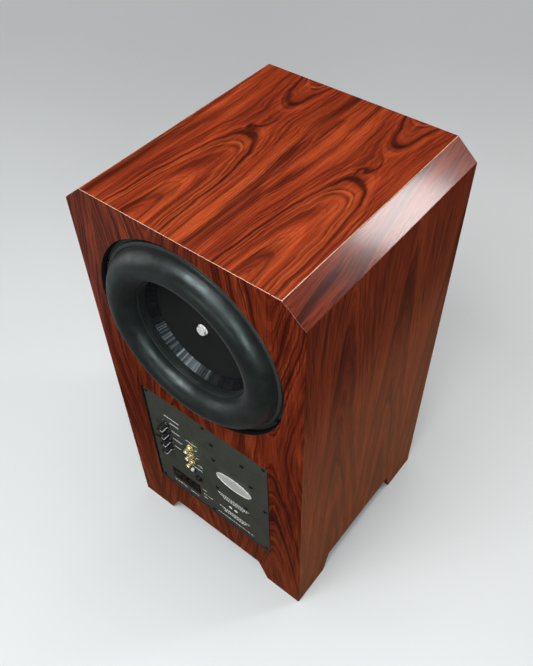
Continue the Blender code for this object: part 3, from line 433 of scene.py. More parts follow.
def gloss_material():
    """Polished black ring: turning marks break a reflection on its wall into strips."""
    n = Nodes("gloss_black_lacquer")
    axes = n.split(n.place)
    turned = n.math("ARCTAN2", n.less(axes[2], UNIT_Z), axes[0])
    bands = n.line_noise(turned, 7.0, 4.0)
    smudge = n.noise(n.place, 45.0, 3.0)
    return n.finish(
        Base_Color=n.mix(smudge, (0.0060, 0.0062, 0.0068), (0.0105, 0.0108, 0.0115)),
        Roughness=n.between(smudge, 0.3, 0.7, 0.10, 0.17),
        Specular_IOR_Level=n.between(bands, 0.42, 0.64, 0.07, 0.38),
        Specular_Tint=(0.84, 0.97, 1.0),
        Normal=n.bump(n.line_noise(turned, 34.0, 3.0), 0.0009, 0.8),
    )


def paper_material(name, colour, spread):
    """Pressed paper or wadding with flecks and fibres."""
    n = Nodes(name)
    pulp = n.noise(n.place, 620.0, 5.0, 0.7)
    fleck = n.between(n.noise(n.place, 1300.0, 2.0), 0.60, 0.72)
    light = tuple(min(1.0, part * spread + 0.004) for part in colour)
    return n.finish(
        Base_Color=n.mix(n.add(n.times(pulp, 0.5), n.times(fleck, 0.5)), colour, light),
        Roughness=0.86,
        Specular_IOR_Level=0.25,
        Normal=n.bump(pulp, 0.00022),
    )


def board_material():
    n = Nodes("fibre_board")
    dust = n.noise(n.place, 900.0, 4.0, 0.7)
    cloud = n.noise(n.place, 18.0, 3.0)
    colour = n.mix(dust, (0.30, 0.19, 0.10), (0.44, 0.30, 0.18))
    return n.finish(
        Base_Color=n.mix(n.times(cloud, 0.4), colour, (0.22, 0.14, 0.08)),
        Roughness=0.88,
        Normal=n.bump(dust, 0.00015),
    )


def cloth_material(name, warp, weft, pitch):
    """Woven cloth: two crossing sets of threads."""
    n = Nodes(name)
    axes = n.split(n.place)
    rate = 2 * math.pi / pitch
    one = n.math("SINE", n.times(n.add(axes[0], axes[2]), rate))
    two = n.math("SINE", n.times(n.less(axes[0], axes[2]), rate))
    weave = n.times(one, two)
    return n.finish(
        Base_Color=n.mix(n.between(weave, -0.5, 0.5), warp, weft),
        Roughness=0.92,
        Sheen_Weight=0.2,
        Normal=n.bump(n.add(weave, n.noise(n.place, 700.0, 3.0)), 0.00012),
    )


def plastic(name, colour, roughness):
    n = Nodes(name)
    haze = n.noise(n.place, 90.0, 3.0)
    light = tuple(min(0.95, part * 1.5 + 0.001) for part in colour)
    return n.finish(
        Base_Color=n.mix(haze, colour, light),
        Roughness=n.between(haze, 0.3, 0.7, roughness - 0.04, roughness + 0.06),
        Normal=n.bump(n.noise(n.place, 2400.0, 2.0), 0.000012),
    )


def badge_material():
    n = Nodes("brushed_silver")
    lines = n.noise(n.stretched(14.0, 1.0, 900.0), 3.0, 3.0, 0.6)
    return n.finish(
        Base_Color=n.mix(lines, (0.68, 0.67, 0.62), (0.86, 0.85, 0.80)),
        Metallic=0.38,
        Roughness=n.between(lines, 0.3, 0.7, 0.34, 0.46),
        Normal=n.bump(lines, 0.00002),
    )


def lamp_material():
    n = Nodes("status_lens")
    swirl = n.noise(n.place, 900.0, 2.0)
    return n.finish(
        Base_Color=n.mix(swirl, (0.05, 0.06, 0.06), (0.10, 0.12, 0.12)),
        Roughness=0.12,
        Transmission_Weight=0.3,
        Normal=n.bump(swirl, 0.00002),
    )


def floor_material():
    """Pale paper. Glossy rays see a painted reflection of it instead: dim, with a painted warm sheen
    beside the cabinet's front foot and a painted grey one far to the left.

    Diffuse rays see it darker, and its far parts glow to the camera only.
    """
    n = Nodes("studio_floor")
    path = n.node("ShaderNodeLightPath", {}).outputs
    x, y = n.split(n.place)[:2]
    pale = n.mix(n.noise(n.place, 1.2, 2.0), (0.66, 0.66, 0.65), (0.71, 0.71, 0.70))
    # Painted reflections, seen by glossy rays only: warm beside the cabinet's front foot, grey far to
    # the left, nearly black elsewhere.
    near = n.times(n.stripe(x, 0.345, 0.415), n.between(y, -0.30, -0.12))
    left = n.mix(n.between(x, -0.85, -0.45), (0.145, 0.165, 0.170), (0.010, 0.010, 0.010))
    painted_reflection = n.mix(near, left, (0.360, 0.155, 0.078))
    bounce = n.mix(path["Is Diffuse Ray"], pale, (0.26, 0.26, 0.26))
    return n.finish(
        Base_Color=n.mix(path["Is Glossy Ray"], bounce, painted_reflection),
        Emission_Color=pale,
        Emission_Strength=n.times(path["Is Camera Ray"], n.between(n.length(x, y), 0.9, 4.5, 0.0, 0.62)),
        Roughness=0.85,
        Specular_IOR_Level=0.1,
        Normal=n.bump(n.noise(n.place, 300.0, 4.0, 0.6), 0.0001),
    )


TOP_RINGS = ((0.0450, 1.0), (0.0370, 0.45), (0.0155, 0.60), (0.0610, 0.45), (0.0800, 0.50))
SIDE_RINGS = ((-0.0248, 0.5), (-0.0496, 1.0), (-0.0530, 1.0), (-0.0731, 1.0), (-0.0760, 1.0))
SERVICE_RINGS = ((0.0010, 0.9), (-0.0200, 0.7), (0.0250, 0.6), (0.0520, 0.6))
TOP_FIGURE = (0.088, 0.0530, 0.160, 0.0, TOP_RINGS, (0.030, 0.094))
BEVEL_FIGURE = (-0.420, 0.020, 0.0, 0.25, ((-0.0310, 0.65), (-0.0420, 0.3)), None)
SIDE_FIGURE = (0.940, 0.012, 0.0, 0.115, SIDE_RINGS, None)
SERVICE_FIGURE = (0.450, 0.012, 0.0, 0.170, SERVICE_RINGS, None)
DRIVER_FIGURE = (0.300, 0.012, 0.0, 0.180, SERVICE_RINGS, None)
# Each face's wood has its own brightness factor: painted light and shade, lightest on the top and
# darkest on the bevels.
VENEER_TOP = veneer("veneer_top", "XY", 0.104, 0.172, TOP_FIGURE, 1.3, 1.05, 0.6)
VENEER_BEVEL = veneer("veneer_bevel", "XY", -0.400, 0.240, BEVEL_FIGURE, 4.2, 0.62, 1.2)
VENEER_SIDE = veneer("veneer_side", "YZ", -0.098, 0.145, SIDE_FIGURE, 7.7, 0.86)
VENEER_SERVICE = veneer("veneer_service", "XZ", 0.138, 0.186, SERVICE_FIGURE, 2.6, 0.78, 0.6)
VENEER_DRIVER = veneer("veneer_driver", "XZ", 0.060, 0.160, DRIVER_FIGURE, 9.4, 0.75)
# The pale finish for the top's rounded edges is a painted highlight.
EDGE_HIGHLIGHT_PAINT = painted_edge_highlight_material()
BOARD = board_material()
RECESS_BLACK = painted("recess_black", (0.012, 0.012, 0.011), 0.55, 700.0, 0.00008)
STAINED_EDGE = painted("stained_edge", (0.030, 0.011, 0.007), 0.55, 500.0, 0.0001)
CAST_BLACK = painted("cast_black", (0.036, 0.038, 0.035), 0.40, 1200.0, 0.00006)
RUBBER = rubber_material()
GLOSS = gloss_material()
DULL_PAPER = paper_material("diaphragm_paper", (0.0065, 0.0065, 0.0060), 2.2)
BLACK_STEEL = metal("blackened_steel", (0.045, 0.045, 0.047), 0.36)
CHROME = metal("bright_chrome", (0.86, 0.87, 0.88), 0.09)
# Mostly diffuse near-white zinc: its brightness is a painted reflection in place of the mirror
# reflection a bare zinc face would show.
ZINC_PAINTED_SHINE = metal("zinc_with_painted_shine", (0.95, 0.95, 0.92), 0.25, metallic=0.30)
KNOB_BLACK = plastic("knob_black", (0.006, 0.006, 0.006), 0.40)
WHITE_INK = painted("white_ink", (0.92, 0.92, 0.88), 0.50, 1600.0, 0.00003)
LENS = lamp_material()
SLOTS = {
    "veneer": VENEER_SIDE,
    "board": BOARD,
    "wadding": paper_material("white_wadding", (0.62, 0.62, 0.60), 1.3),
    "rubber": RUBBER,
    "cast_frame": CAST_BLACK,
    "gloss_black": GLOSS,
    "black_paper": paper_material("cone_paper", (0.010, 0.010, 0.010), 2.0),
    "spider_cloth": cloth_material("spider_weave", (0.35, 0.20, 0.07), (0.50, 0.32, 0.12), 0.0012),
    "steel": metal("zinc_steel", (0.52, 0.52, 0.50), 0.30),
    "bright_steel": CHROME,
    "black_steel": BLACK_STEEL,
    "ferrite": painted("ferrite", (0.030, 0.030, 0.033), 0.60, 800.0, 0.0002),
    "copper": metal("wound_copper", (0.72, 0.33, 0.16), 0.32, (900.0, 900.0, 900.0), 0.0001),
    "plate_grey": painted("plate_powder_coat", (0.050, 0.053, 0.041), 0.50, 1500.0, 0.00007),
    "black_plastic": plastic("black_plastic", (0.0045, 0.0045, 0.0048), 0.36),
    "white_plastic": plastic("white_plastic", (0.80, 0.80, 0.76), 0.38),
    # Gold, only partly metallic: the pale diffuse share of its colour is a painted reflection.
    "gold": metal("plated_gold_painted_shine", (1.0, 0.84, 0.46), 0.16, (60.0, 900.0, 60.0), metallic=0.78),
    "silver_badge": badge_material(),
    "aluminium": metal("mill_aluminium", (0.66, 0.67, 0.68), 0.38, (20.0, 900.0, 900.0)),
    "circuit_green": plastic("circuit_green", (0.012, 0.090, 0.040), 0.42),
}

# ---------------- mesh tools


def add_object(name, mesh, sharp=35.0):
    """Links a mesh with its normals outward, smooth except across edges sharper than an angle."""
    bm = bmesh.new()
    bm.from_mesh(mesh)
    bmesh.ops.remove_doubles(bm, verts=bm.verts[:], dist=0.0000005)
    bmesh.ops.recalc_face_normals(bm, faces=bm.faces[:])
    bm.to_mesh(mesh)
    bm.free()
    mesh.shade_smooth()
    mesh.set_sharp_from_angle(angle=math.radians(sharp))
    made = bpy.data.objects.new(name, mesh)
    bpy.context.scene.collection.objects.link(made)
    return made


def from_bmesh(name, bm):
    mesh = bpy.data.meshes.new(name)
    bm.to_mesh(mesh)
    bm.free()
    return add_object(name, mesh)


def from_lists(name, verts, faces, place, sharp=35.0):
    mesh = bpy.data.meshes.new(name)
    mesh.from_pydata([tuple(map(float, vert)) for vert in verts], [], faces)
    mesh.transform(place)
    return add_object(name, mesh, sharp)


def settle(piece, body, slot, *nodes, materials=None):
    """Gives a piece its finish, puts it on its body and hides the solids it stands for."""
    piece.data.materials.clear()
    for material in materials or [SLOTS[slot]]:
        piece.data.materials.append(material)
    if body:
        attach(piece, body)
    if nodes:
        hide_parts(*nodes)
    return piece


def arc(before, corner, after, radius, steps):
    """The points that round a corner, or the corner itself where the line hardly turns."""
    back = before - corner
    ahead = after - corner
    half = back.angle(ahead) / 2
    if half > math.pi / 2 - 0.01:
        return [tuple(corner)]
    reach = min(radius / math.tan(half), 0.49 * back.length, 0.49 * ahead.length)
    fitted = reach * math.tan(half)
    back.normalize()
    ahead.normalize()
    centre = corner + (back + ahead).normalized() * (fitted / math.sin(half))
    start = corner + back * reach - centre
    end = corner + ahead * reach - centre
    first = math.atan2(start.y, start.x)
    sweep = math.atan2(start.x * end.y - start.y * end.x, start.dot(end))
    turns = [first + sweep * step / steps for step in range(steps + 1)]
    return [(centre.x + fitted * math.cos(turn), centre.y + fitted * math.sin(turn)) for turn in turns]


def rounded(corners, steps=4, closed=True):
    """The points of a profile, with an arc at each corner that has a radius."""
    line = []
    last = len(corners) - 1
    for index, (x, y, *radius) in enumerate(corners):
        if not radius or (not closed and index in (0, last)):
            line.append((x, y))
            continue
        near = (corners[index - 1], corners[index], corners[(index + 1) % len(corners)])
        line += arc(*(Vector(corner[:2]) for corner in near), radius[0], steps)
    return line


def turn_of(sides):
    return np.arange(sides) * 2 * math.pi / sides


def hexagon(reach, sides):
    """The distance from the centre to a hexagon's edge, all the way round."""
    return reach / np.cos((turn_of(sides) + math.pi / 6) % (math.pi / 3) - math.pi / 6)


def ring_solid(name, rings, sides, place, closed, sharp=35.0):
    """Joins rings of points, each a radius that may change around the turn and a height."""
    turn = turn_of(sides)
    verts = []
    for radius, height in rings:
        level = np.full(sides, height)
        verts += list(np.stack((radius * np.cos(turn), radius * np.sin(turn), level), 1))
    count = len(rings)
    faces = []
    for ring in range(count if closed else count - 1):
        lower = ring * sides
        upper = (ring + 1) % count * sides
        for side in range(sides):
            near = (side + 1) % sides
            faces.append((lower + side, lower + near, upper + near, upper + side))
    if not closed:
        faces.append(tuple(range(sides)))
        faces.append(tuple(range((count - 1) * sides, count * sides)))
    return from_lists(name, verts, faces, place, sharp)


def lathe(name, corners, place, sides=128, steps=4):
    """A turned piece with a profile of (radius, height) corners. One that reaches the axis is solid."""
    solid = any(corner[0] < 1e-6 for corner in corners)
    line = rounded(corners, steps, closed=not solid)
    rings = [point for point in line if point[0] > 1e-6]
    return ring_solid(name, rings, sides, place, not solid)


def prism(name, outline, low, high, place):
    """A flat piece with this outline between two heights."""
    count = len(outline)
    verts = [(x, y, level) for level in (low, high) for x, y in outline]
    faces = [tuple(range(count)), tuple(range(count, 2 * count))]
    for index in range(count):
        after = (index + 1) % count
        faces.append((index, after, count + after, count + index))
    return from_lists(name, verts, faces, place)


def box_outline(width, height, radius, x=0.0, y=0.0, steps=4):
    w = width / 2
    h = height / 2
    signs = ((-1, -1), (1, -1), (1, 1), (-1, 1))
    return rounded([(x + side * w, y + level * h, radius) for side, level in signs], steps)


def baked(target):
    """Applies the target's modifiers to its mesh."""
    graph = bpy.context.evaluated_depsgraph_get()
    mesh = bpy.data.meshes.new_from_object(target.evaluated_get(graph))
    target.modifiers.clear()
    target.data = mesh


def cut(target, *tools, operation="DIFFERENCE"):
    for tool in tools:
        modifier = target.modifiers.new("cut", "BOOLEAN")
        modifier.operation = operation
        modifier.solver = "EXACT"
        modifier.object = tool
    baked(target)
    for tool in tools:
        bpy.data.objects.remove(tool)


def keep_flat(target):
    """Large faces stay flat beside the small ones that round their edges."""
    modifier = target.modifiers.new("face_normals", "WEIGHTED_NORMAL")
    modifier.keep_sharp = True
    modifier.weight = 100


def add_bevel(target, width, angle):
    modifier = target.modifiers.new("soft_edges", "BEVEL")
    modifier.width = width
    modifier.segments = 2
    modifier.limit_method = "ANGLE"
    modifier.angle_limit = math.radians(angle)
    modifier.use_clamp_overlap = True


def soften(target, width, angle=40.0):
    """Rounds the sharp edges, so that they catch the light."""
    add_bevel(target, width, angle)
    baked(target)
    target.data.shade_smooth()
    target.data.set_sharp_from_angle(angle=math.radians(50.0))
    keep_flat(target)


def sharpen(target):
    """Marks the sharp edges again after a cut."""
    target.data.set_sharp_from_angle(angle=math.radians(35.0))


def merged(name, pieces):
    """One object from several, for marks and details that belong together."""
    bm = bmesh.new()
    for piece in pieces:
        bm.from_mesh(piece.data)
        bpy.data.objects.remove(piece)
    return from_bmesh(name, bm)


# ---------------- cabinet

# The last finish is a painted highlight line along the top's edges.
OUTER, RECESSED, STAINED, BARE, PAINTED_HIGHLIGHT = range(5)
FINISHES = (RECESS_BLACK, STAINED_EDGE, BOARD, EDGE_HIGHLIGHT_PAINT)
PANEL_VENEERS = {
    "top_panel": VENEER_TOP,
    "rear_baffle": VENEER_SERVICE,
    "front_baffle": VENEER_DRIVER,
    "left_bevel_panel": VENEER_BEVEL,
    "right_bevel_panel": VENEER_BEVEL,
    "left_side_panel": VENEER_SIDE,
    "right_side_panel": VENEER_SIDE,
}


def cabinet_faces():
    """Each panel's outward normal, its face's distance from the origin and its thickness."""
    faces = {
        "top_panel": (Vector((0, 0, 1)), HEIGHT, WALL),
        "rear_baffle": (Vector((0, -1, 0)), HALF_DEPTH, BAFFLE),
        "front_baffle": (Vector((0, 1, 0)), HALF_DEPTH, BAFFLE),
    }
    for side, name in ((-1, "left"), (1, "right")):
        slope = Vector((side * BEVEL_DROP, 0, BEVEL_WIDTH)).normalized()
        corner = Vector((side * HALF_WIDTH, 0, HEIGHT - BEVEL_DROP))
        faces[f"{name}_bevel_panel"] = (slope, slope.dot(corner), WALL)
        faces[f"{name}_side_panel"] = (Vector((side, 0, 0)), HALF_WIDTH, WALL)
    return faces


def rounded_hull():
    """The cabinet's outer shape with every edge rounded."""
    shoulder = HALF_WIDTH - BEVEL_WIDTH
    right = [(HALF_WIDTH, 0.0), (HALF_WIDTH, HEIGHT - BEVEL_DROP), (shoulder, HEIGHT)]
    outline = right + [(-x, z) for x, z in reversed(right)]
    hull = prism("hull", outline, -HALF_DEPTH, HALF_DEPTH, THROUGH)
    bm = bmesh.new()
    bm.from_mesh(hull.data)
    bpy.data.objects.remove(hull)
    shape = {"offset": EDGE_RADIUS, "offset_type": "OFFSET", "segments": 6, "profile": 0.5}
    bmesh.ops.bevel(bm, geom=bm.edges[:], affect="EDGES", **shape)
    return bm


def keep_behind(bm, normal, distance):
    """Cuts away what lies beyond a plane and closes the cut."""
    everything = bm.verts[:] + bm.edges[:] + bm.faces[:]
    plane = {"plane_co": normal * distance, "plane_no": normal}
    result = bmesh.ops.bisect_plane(bm, geom=everything, clear_outer=True, **plane)
    rim = [item for item in result["geom_cut"] if isinstance(item, bmesh.types.BMEdge)]
    if rim:
        bmesh.ops.edgenet_fill(bm, edges=rim)


def panel(name, faces):
    """A panel that meets its neighbours in mitres, each taking half of the rounded edge."""
    normal, distance, thickness = faces[name]
    bm = rounded_hull()
    for other, (other_normal, other_distance, _) in faces.items():
        if other != name and normal.dot(other_normal) > -0.5:
            slope = other_normal - normal
            offset = other_distance - distance
            keep_behind(bm, slope.normalized(), offset / slope.length - SEAM)
    keep_behind(bm, -normal, thickness - distance)
    return from_bmesh(f"{name}_veneered", bm)


def notch_tool(widths, turned=0.0):
    """A foot cut-out right across the cabinet, with softened upper corners."""
    floor_half, top_half = (width / 2 for width in widths)
    right = [(floor_half, -CLEAR), (floor_half, 0.0), (top_half, NOTCH_RISE, 0.0020)]
    corners = right + [(-x, *rest) for x, *rest in reversed(right)]
    return prism("notch", rounded(corners), -0.3, 0.3, spin(turned) @ THROUGH)


def recess_tool(place):
    """The recess and the opening of a round unit, with a slightly rounded mouth."""
    mouth = 0.0005
    corners = [(0.0, CLEAR), (RECESS_RADIUS + 2 * mouth, CLEAR), (RECESS_RADIUS + mouth, 0.0)]
    corners += [(RECESS_RADIUS + 0.3 * mouth, -0.3 * mouth), (RECESS_RADIUS, -mouth)]
    corners += [(RECESS_RADIUS, -RECESS_DEPTH), (OPENING_RADIUS, -RECESS_DEPTH)]
    corners += [(OPENING_RADIUS, -2 * BAFFLE), (0.0, -2 * BAFFLE)]
    return lathe("recess", corners, place, 160)


def amp_tools():
    """The rebate the amplifier plate lies in and the opening behind it."""
    floor = PLATE_Y + HALF_DEPTH + 0.0035
    margin = 2 * REBATE_MARGIN
    outline = box_outline(PLATE_WIDTH + margin, PLATE_HEIGHT + margin, 0.0025)
    place = face_place(0.0, -HALF_DEPTH, PLATE_MIDDLE, -1)
    rebate = prism("rebate", outline, -floor, CLEAR, place)
    opening = prism("opening", box_outline(0.228, 0.244, 0.004), -2 * BAFFLE, CLEAR, place)
    return rebate, opening


def finish_index(polygon, normal, distance):
    """Veneer on the outer face, a painted highlight on the top's rounded edges, black in recesses,
    stained foot cut-outs, bare board inside.
    """
    below = distance - normal.dot(polygon.center)
    outward = polygon.normal.dot(normal)
    height = polygon.center.z
    # Facets of the rounded edges around the top get a painted highlight line.
    highlight_from = 0.86 if abs(polygon.normal.y) > 0.3 else 0.96
    if height > HEIGHT - 0.0016 and below < EDGE_RADIUS and 0.66 < outward < highlight_from:
        return PAINTED_HIGHLIGHT
    if below < EDGE_RADIUS + 0.0001 and outward > 0.66:
        return OUTER
    if height < NOTCH_RISE + 0.001 and abs(outward) < 0.3:
        return STAINED
    if below < BAFFLE - 0.001 and abs(normal.y) > 0.5 and height > NOTCH_RISE + 0.01:
        return RECESSED
    return BARE


def build_cabinet():
    faces = cabinet_faces()
    for name, (normal, distance, _) in faces.items():
        piece = panel(name, faces)
        if name == "rear_baffle":
            cut(piece, recess_tool(SERVICE), *amp_tools(), notch_tool(REAR_NOTCH))
        if name == "front_baffle":
            cut(piece, recess_tool(DRIVER), notch_tool(REAR_NOTCH))
        if name.endswith("side_panel"):
            cut(piece, notch_tool(SIDE_NOTCH, math.pi / 2))
        settle(piece, "cabinet", "veneer", name, materials=[PANEL_VENEERS[name], *FINISHES])
        for polygon in piece.data.polygons:
            polygon.material_index = finish_index(polygon, normal, distance)
        piece.data.shade_smooth()
        sharpen(piece)
        keep_flat(piece)


# ---------------- round units

# Each kind of screw: the head's radius and rise, its socket's half width and depth.
FLANGE_SCREW = (0.0029, 0.0029, 0.0013, 0.0016)
PLATE_SCREW = (0.0028, 0.0017, 0.0012, 0.0011)
FIELD_SCREW = (0.0032, 0.0019, 0.0013, 0.0012)


def screw(name, place, sizes, *nodes):
    """A domed head with a hexagon socket and a short shank behind it."""
    radius, rise, socket, depth = sizes
    sides = 48
    edge = radius * 0.16
    wall = hexagon(socket, sides)
    rings = [(socket * 0.55, rise - depth - socket * 0.12), (wall, rise - depth)]
    rings += [(wall, rise - 0.00025), (wall * 1.07, rise)]
    for step in range(5):
        angle = math.pi / 8 * step
        rings.append((radius - edge + edge * math.sin(angle), rise - edge + edge * math.cos(angle)))
    rings += [(radius, 0.0), (radius * 0.5, 0.0), (radius * 0.5, -0.0040)]
    piece = ring_solid(name, rings, sides, place, False)
    settle(piece, "cabinet", "steel", *nodes, materials=[BLACK_STEEL])


def screw_spot(base, index, height):
    """One of the places on a flange's circle of screws."""
    angle = 2 * math.pi * (index + 0.5) / SCREWS
    x = SCREW_CIRCLE * math.cos(angle)
    z = SCREW_CIRCLE * math.sin(angle)
    return base @ Matrix.Translation((x, z, height))


def screw_ring(prefix, base, nodes=None):
    for index in range(SCREWS):
        place = screw_spot(base, index, FLANGE_TOP + 0.0003) @ spin(0.37 * index)
        node = [f"{nodes}_{index + 1}"] if nodes else []
        screw(f"{prefix}_{index + 1}", place, FLANGE_SCREW, *node)


def flange(inner):
    """The first corners of a basket's profile."""
    return [
        (inner, FLANGE_TOP, 0.0008),
        (FLANGE_RADIUS, FLANGE_TOP, 0.0010),
        (FLANGE_RADIUS, FLANGE_BOTTOM, 0.0004),
    ]


def clamp_ring(name, place, inner, top, sides, material):
    """The ring that holds the surround's outer edge down."""
    outer = 0.1522
    base = FLANGE_TOP + 0.0001
    corners = [(inner, base), (outer, base), (outer, top, 0.0008), (inner, top, 0.0008)]
    settle(lathe(name, corners, place, sides), "cabinet", "rubber", materials=[material])


def roll_solid(name, place, circle, height, radius, outer_lip, inner_lip):
    """A half-roll surround with a flat lip at each edge."""
    steps = 40
    lip = height - 0.0003
    base = FLANGE_TOP + 0.0003
    inside = radius - 0.0025
    turns = [math.pi * step / steps for step in range(steps + 1)]
    feet = [(inner_lip, base), (inner_lip, lip, 0.0008), (circle - radius, lip)]
    line = rounded(feet, closed=False)[:-1]
    for turn in reversed(turns):
        line.append((circle + radius * math.cos(turn), height + radius * math.sin(turn)))
    feet = [(circle + radius, lip), (outer_lip, lip, 0.0008), (outer_lip, base)]
    line += rounded(feet, closed=False)[1:]
    for turn in turns:
        level = height + inside * math.sin(turn) - 0.0004
        line.append((circle + inside * math.cos(turn), max(base, level)))
    return ring_solid(name, line, 192, place, True, 60.0)


def follow_cone(piece):
    """Bakes the piece's place into its mesh; it rides on no body."""
    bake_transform(piece)


def hex_bolt(name, place, flats, base, top, *nodes):
    """A zinc bolt with a washer face and a chamfered hexagon head, on the radiator's cone."""
    sides = 96
    levels = 8
    shank = 0.0050
    washer = 0.0085
    neck = flats * 0.485
    head = hexagon(flats / 2, sides)
    corner = flats / math.sqrt(3)
    rings = [(shank, base - 0.0120), (shank, base), (washer - 0.0002, base), (washer, base + 0.0002)]
    rings += [(washer, base + 0.0009), (washer - 0.0003, base + 0.0012)]
    rings += [(neck, base + 0.0012), (neck, base + 0.0015)]
    for limit, lift in ((flats * 0.5, 0.0015), (corner * 0.93, 0.00145), (corner, 0.0022)):
        rings.append((np.minimum(head, limit), base + lift))
    for step in range(levels + 1):
        drop = (1 - step / levels) * 0.0016
        rings.append((np.minimum(head, corner * 0.865 + drop * 1.75), top - drop))
    rings += [(flats * 0.40, top), (flats * 0.385, top - 0.00012)]
    piece = ring_solid(name, rings, sides, place, False, 25.0)
    settle(piece, "radiator_cone", "steel", *nodes, materials=[ZINC_PAINTED_SHINE])


def build_radiator_frame():
    basket = flange(0.1400)
    basket += [(0.1425, FLANGE_BOTTOM), (0.1425, -0.0400, 0.0008), (0.1380, -0.0400, 0.0008)]
    basket += [(0.1380, -0.0370), (0.1400, -0.0350)]
    piece = lathe("radiator_basket", basket, SERVICE, 160)
    hole = [(0.0, 0.0), (0.0021, 0.0), (0.0021, -0.03), (0.0, -0.03)]
    cut(piece, *[lathe("hole", hole, screw_spot(SERVICE, index, 0.0), 24) for index in range(SCREWS)])
    sharpen(piece)
    settle(piece, "cabinet", "cast_frame", "radiator_frame", materials=[CAST_BLACK])
    clamp_ring("radiator_clamp_ring", SERVICE, 0.1468, -0.0046, 160, CAST_BLACK)
    roll = roll_solid("radiator_rubber_roll", SERVICE, 0.1224, -0.0052, 0.0237, 0.1466, 0.0955)
    settle(roll, None, "rubber", "radiator_surround")
    follow_cone(roll)
    screw_ring("radiator_socket_screw", SERVICE, "radiator_screw")


def build_gloss_ring():
    """The stepped ring between the roll and the diaphragm: rubber outside, lacquer inside."""
    rim = FLANGE_TOP + 0.0001
    ring = [(0.0955, rim, 0.0007), (0.1012, rim, 0.0004), (0.1012, rim - 0.0030)]
    ring += [(0.0985, rim - 0.0030), (0.0985, -0.0212), (0.0890, -0.0345), (0.0860, -0.0345)]
    ring += [(0.0860, -0.0312, 0.0003), (0.0932, -0.0190), (0.0937, -0.0178, 0.0004)]
    ring += [(0.0945, -0.0178, 0.0003), (0.0948, -0.0186), (0.0955, -0.0186)]
    piece = lathe("radiator_gloss_ring", ring, SERVICE, 192)
    settle(piece, "radiator_cone", "gloss_black", "radiator_ring", materials=[RUBBER, GLOSS])
    for polygon in piece.data.polygons:
        polygon.material_index = 0 if polygon.center.y < 0.0170 - HALF_DEPTH else 1


def build_radiator():
    build_radiator_frame()
    build_gloss_ring()
    flat = [(0.0, -0.0310), (0.0140, -0.0310), (0.0145, -0.0308), (0.0150, -0.0310)]
    flat += [(0.0800, -0.0310, 0.0004), (0.0810, -0.0313, 0.0004), (0.0857, -0.0313, 0.0003)]
    flat += [(0.0857, -0.0340), (0.0, -0.0340)]
    piece = lathe("radiator_flat_diaphragm", flat, SERVICE, 160)
    settle(piece, "radiator_cone", "black_paper", "radiator_diaphragm", materials=[DULL_PAPER])
    mass = [(0.0055, -0.0343, 0.0005), (0.0550, -0.0343, 0.0005)]
    mass += [(0.0550, -0.0463, 0.0010), (0.0055, -0.0463, 0.0005)]
    piece = lathe("radiator_tuning_mass", mass, SERVICE, 96)
    settle(piece, "radiator_cone", "steel", "radiator_mass")
    hex_bolt("radiator_hex_bolt", SERVICE, 0.013, -0.0307, -0.0247, "radiator_bolt")


def build_driver_frame():
    basket = flange(0.1390)
    basket += [(0.1420, FLANGE_BOTTOM), (0.1400, -0.0300), (0.0960, -0.0960, 0.0020)]
    basket += [(0.0600, -0.0960, 0.0010), (0.0600, -0.0925, 0.0010), (0.0940, -0.0925, 0.0020)]
    basket += [(0.1370, -0.0290)]
    piece = lathe("driver_basket", basket, DRIVER, 144)
    outline = [(0.1010, -0.0360), (0.1700, -0.0560), (0.1700, 0.0560), (0.1010, 0.0360)]
    places = [DRIVER @ spin(math.pi / 3 * (index + 0.5)) for index in range(6)]
    cut(piece, *[prism("window", outline, -0.0830, -0.0340, place) for place in places])
    sharpen(piece)
    settle(piece, "cabinet", "cast_frame", "woofer_basket", materials=[CAST_BLACK])
    clamp_ring("driver_clamp_ring", DRIVER, 0.1498, -0.0040, 144, RUBBER)
    roll = roll_solid("driver_rubber_roll", DRIVER, 0.1280, -0.0025, 0.0210, 0.1496, 0.1060)
    settle(roll, None, "rubber", "woofer_surround")
    follow_cone(roll)
    screw_ring("driver_socket_screw", DRIVER)


def dust_cap():
    """A dome: part of a sphere, closed by the same line a little lower."""
    radius, base, rise = 0.052, -0.0462, 0.0110
    steps = 12
    sphere = (radius**2 + rise**2) / (2 * rise)
    reach = math.asin(radius / sphere)
    angles = [reach * (0.03 + 0.97 * step / steps) for step in range(steps + 1)]
    top = [(sphere * math.sin(angle), base + rise - sphere * (1 - math.cos(angle))) for angle in angles]
    lower = [(spot, height - 0.0009) for spot, height in reversed(top)]
    return ring_solid("driver_dust_cap", top + lower, 96, DRIVER, False, 40.0)


def spider():
    """A corrugated disc whose waves die out at both edges."""
    waves, points = 6, 48
    line = []
    for step in range(points + 1):
        fading = min(1, step / 4, (points - step) / 4)
        lift = 0.0016 * math.sin(math.pi * waves * step / points) * fading
        line.append((0.0390 + 0.0645 * step / points, -0.0735 + lift))
    line += [(spot, height - 0.0007) for spot, height in reversed(line)]
    return ring_solid("driver_spider", line, 96, DRIVER, True, 60.0)


def build_driver():
    build_driver_frame()
    rim = FLANGE_TOP + 0.0002
    cone = [(0.0388, -0.0560), (0.0700, -0.0362, 0.0300), (0.1050, rim, 0.0030), (0.1120, rim, 0.0005)]
    cone += [(0.1120, rim - 0.0018), (0.1056, rim - 0.0018, 0.0030)]
    cone += [(0.0700, -0.0382, 0.0300), (0.0388, -0.0580)]
    piece = lathe("driver_paper_cone", cone, DRIVER, 160, 6)
    settle(piece, "woofer_cone", "black_paper", "woofer_cone")
    settle(dust_cap(), "woofer_cone", "black_paper", "woofer_dust_cap")
    piece = settle(spider(), None, "spider_cloth", "woofer_spider")
    follow_cone(piece)


# ---------------- amplifier plate

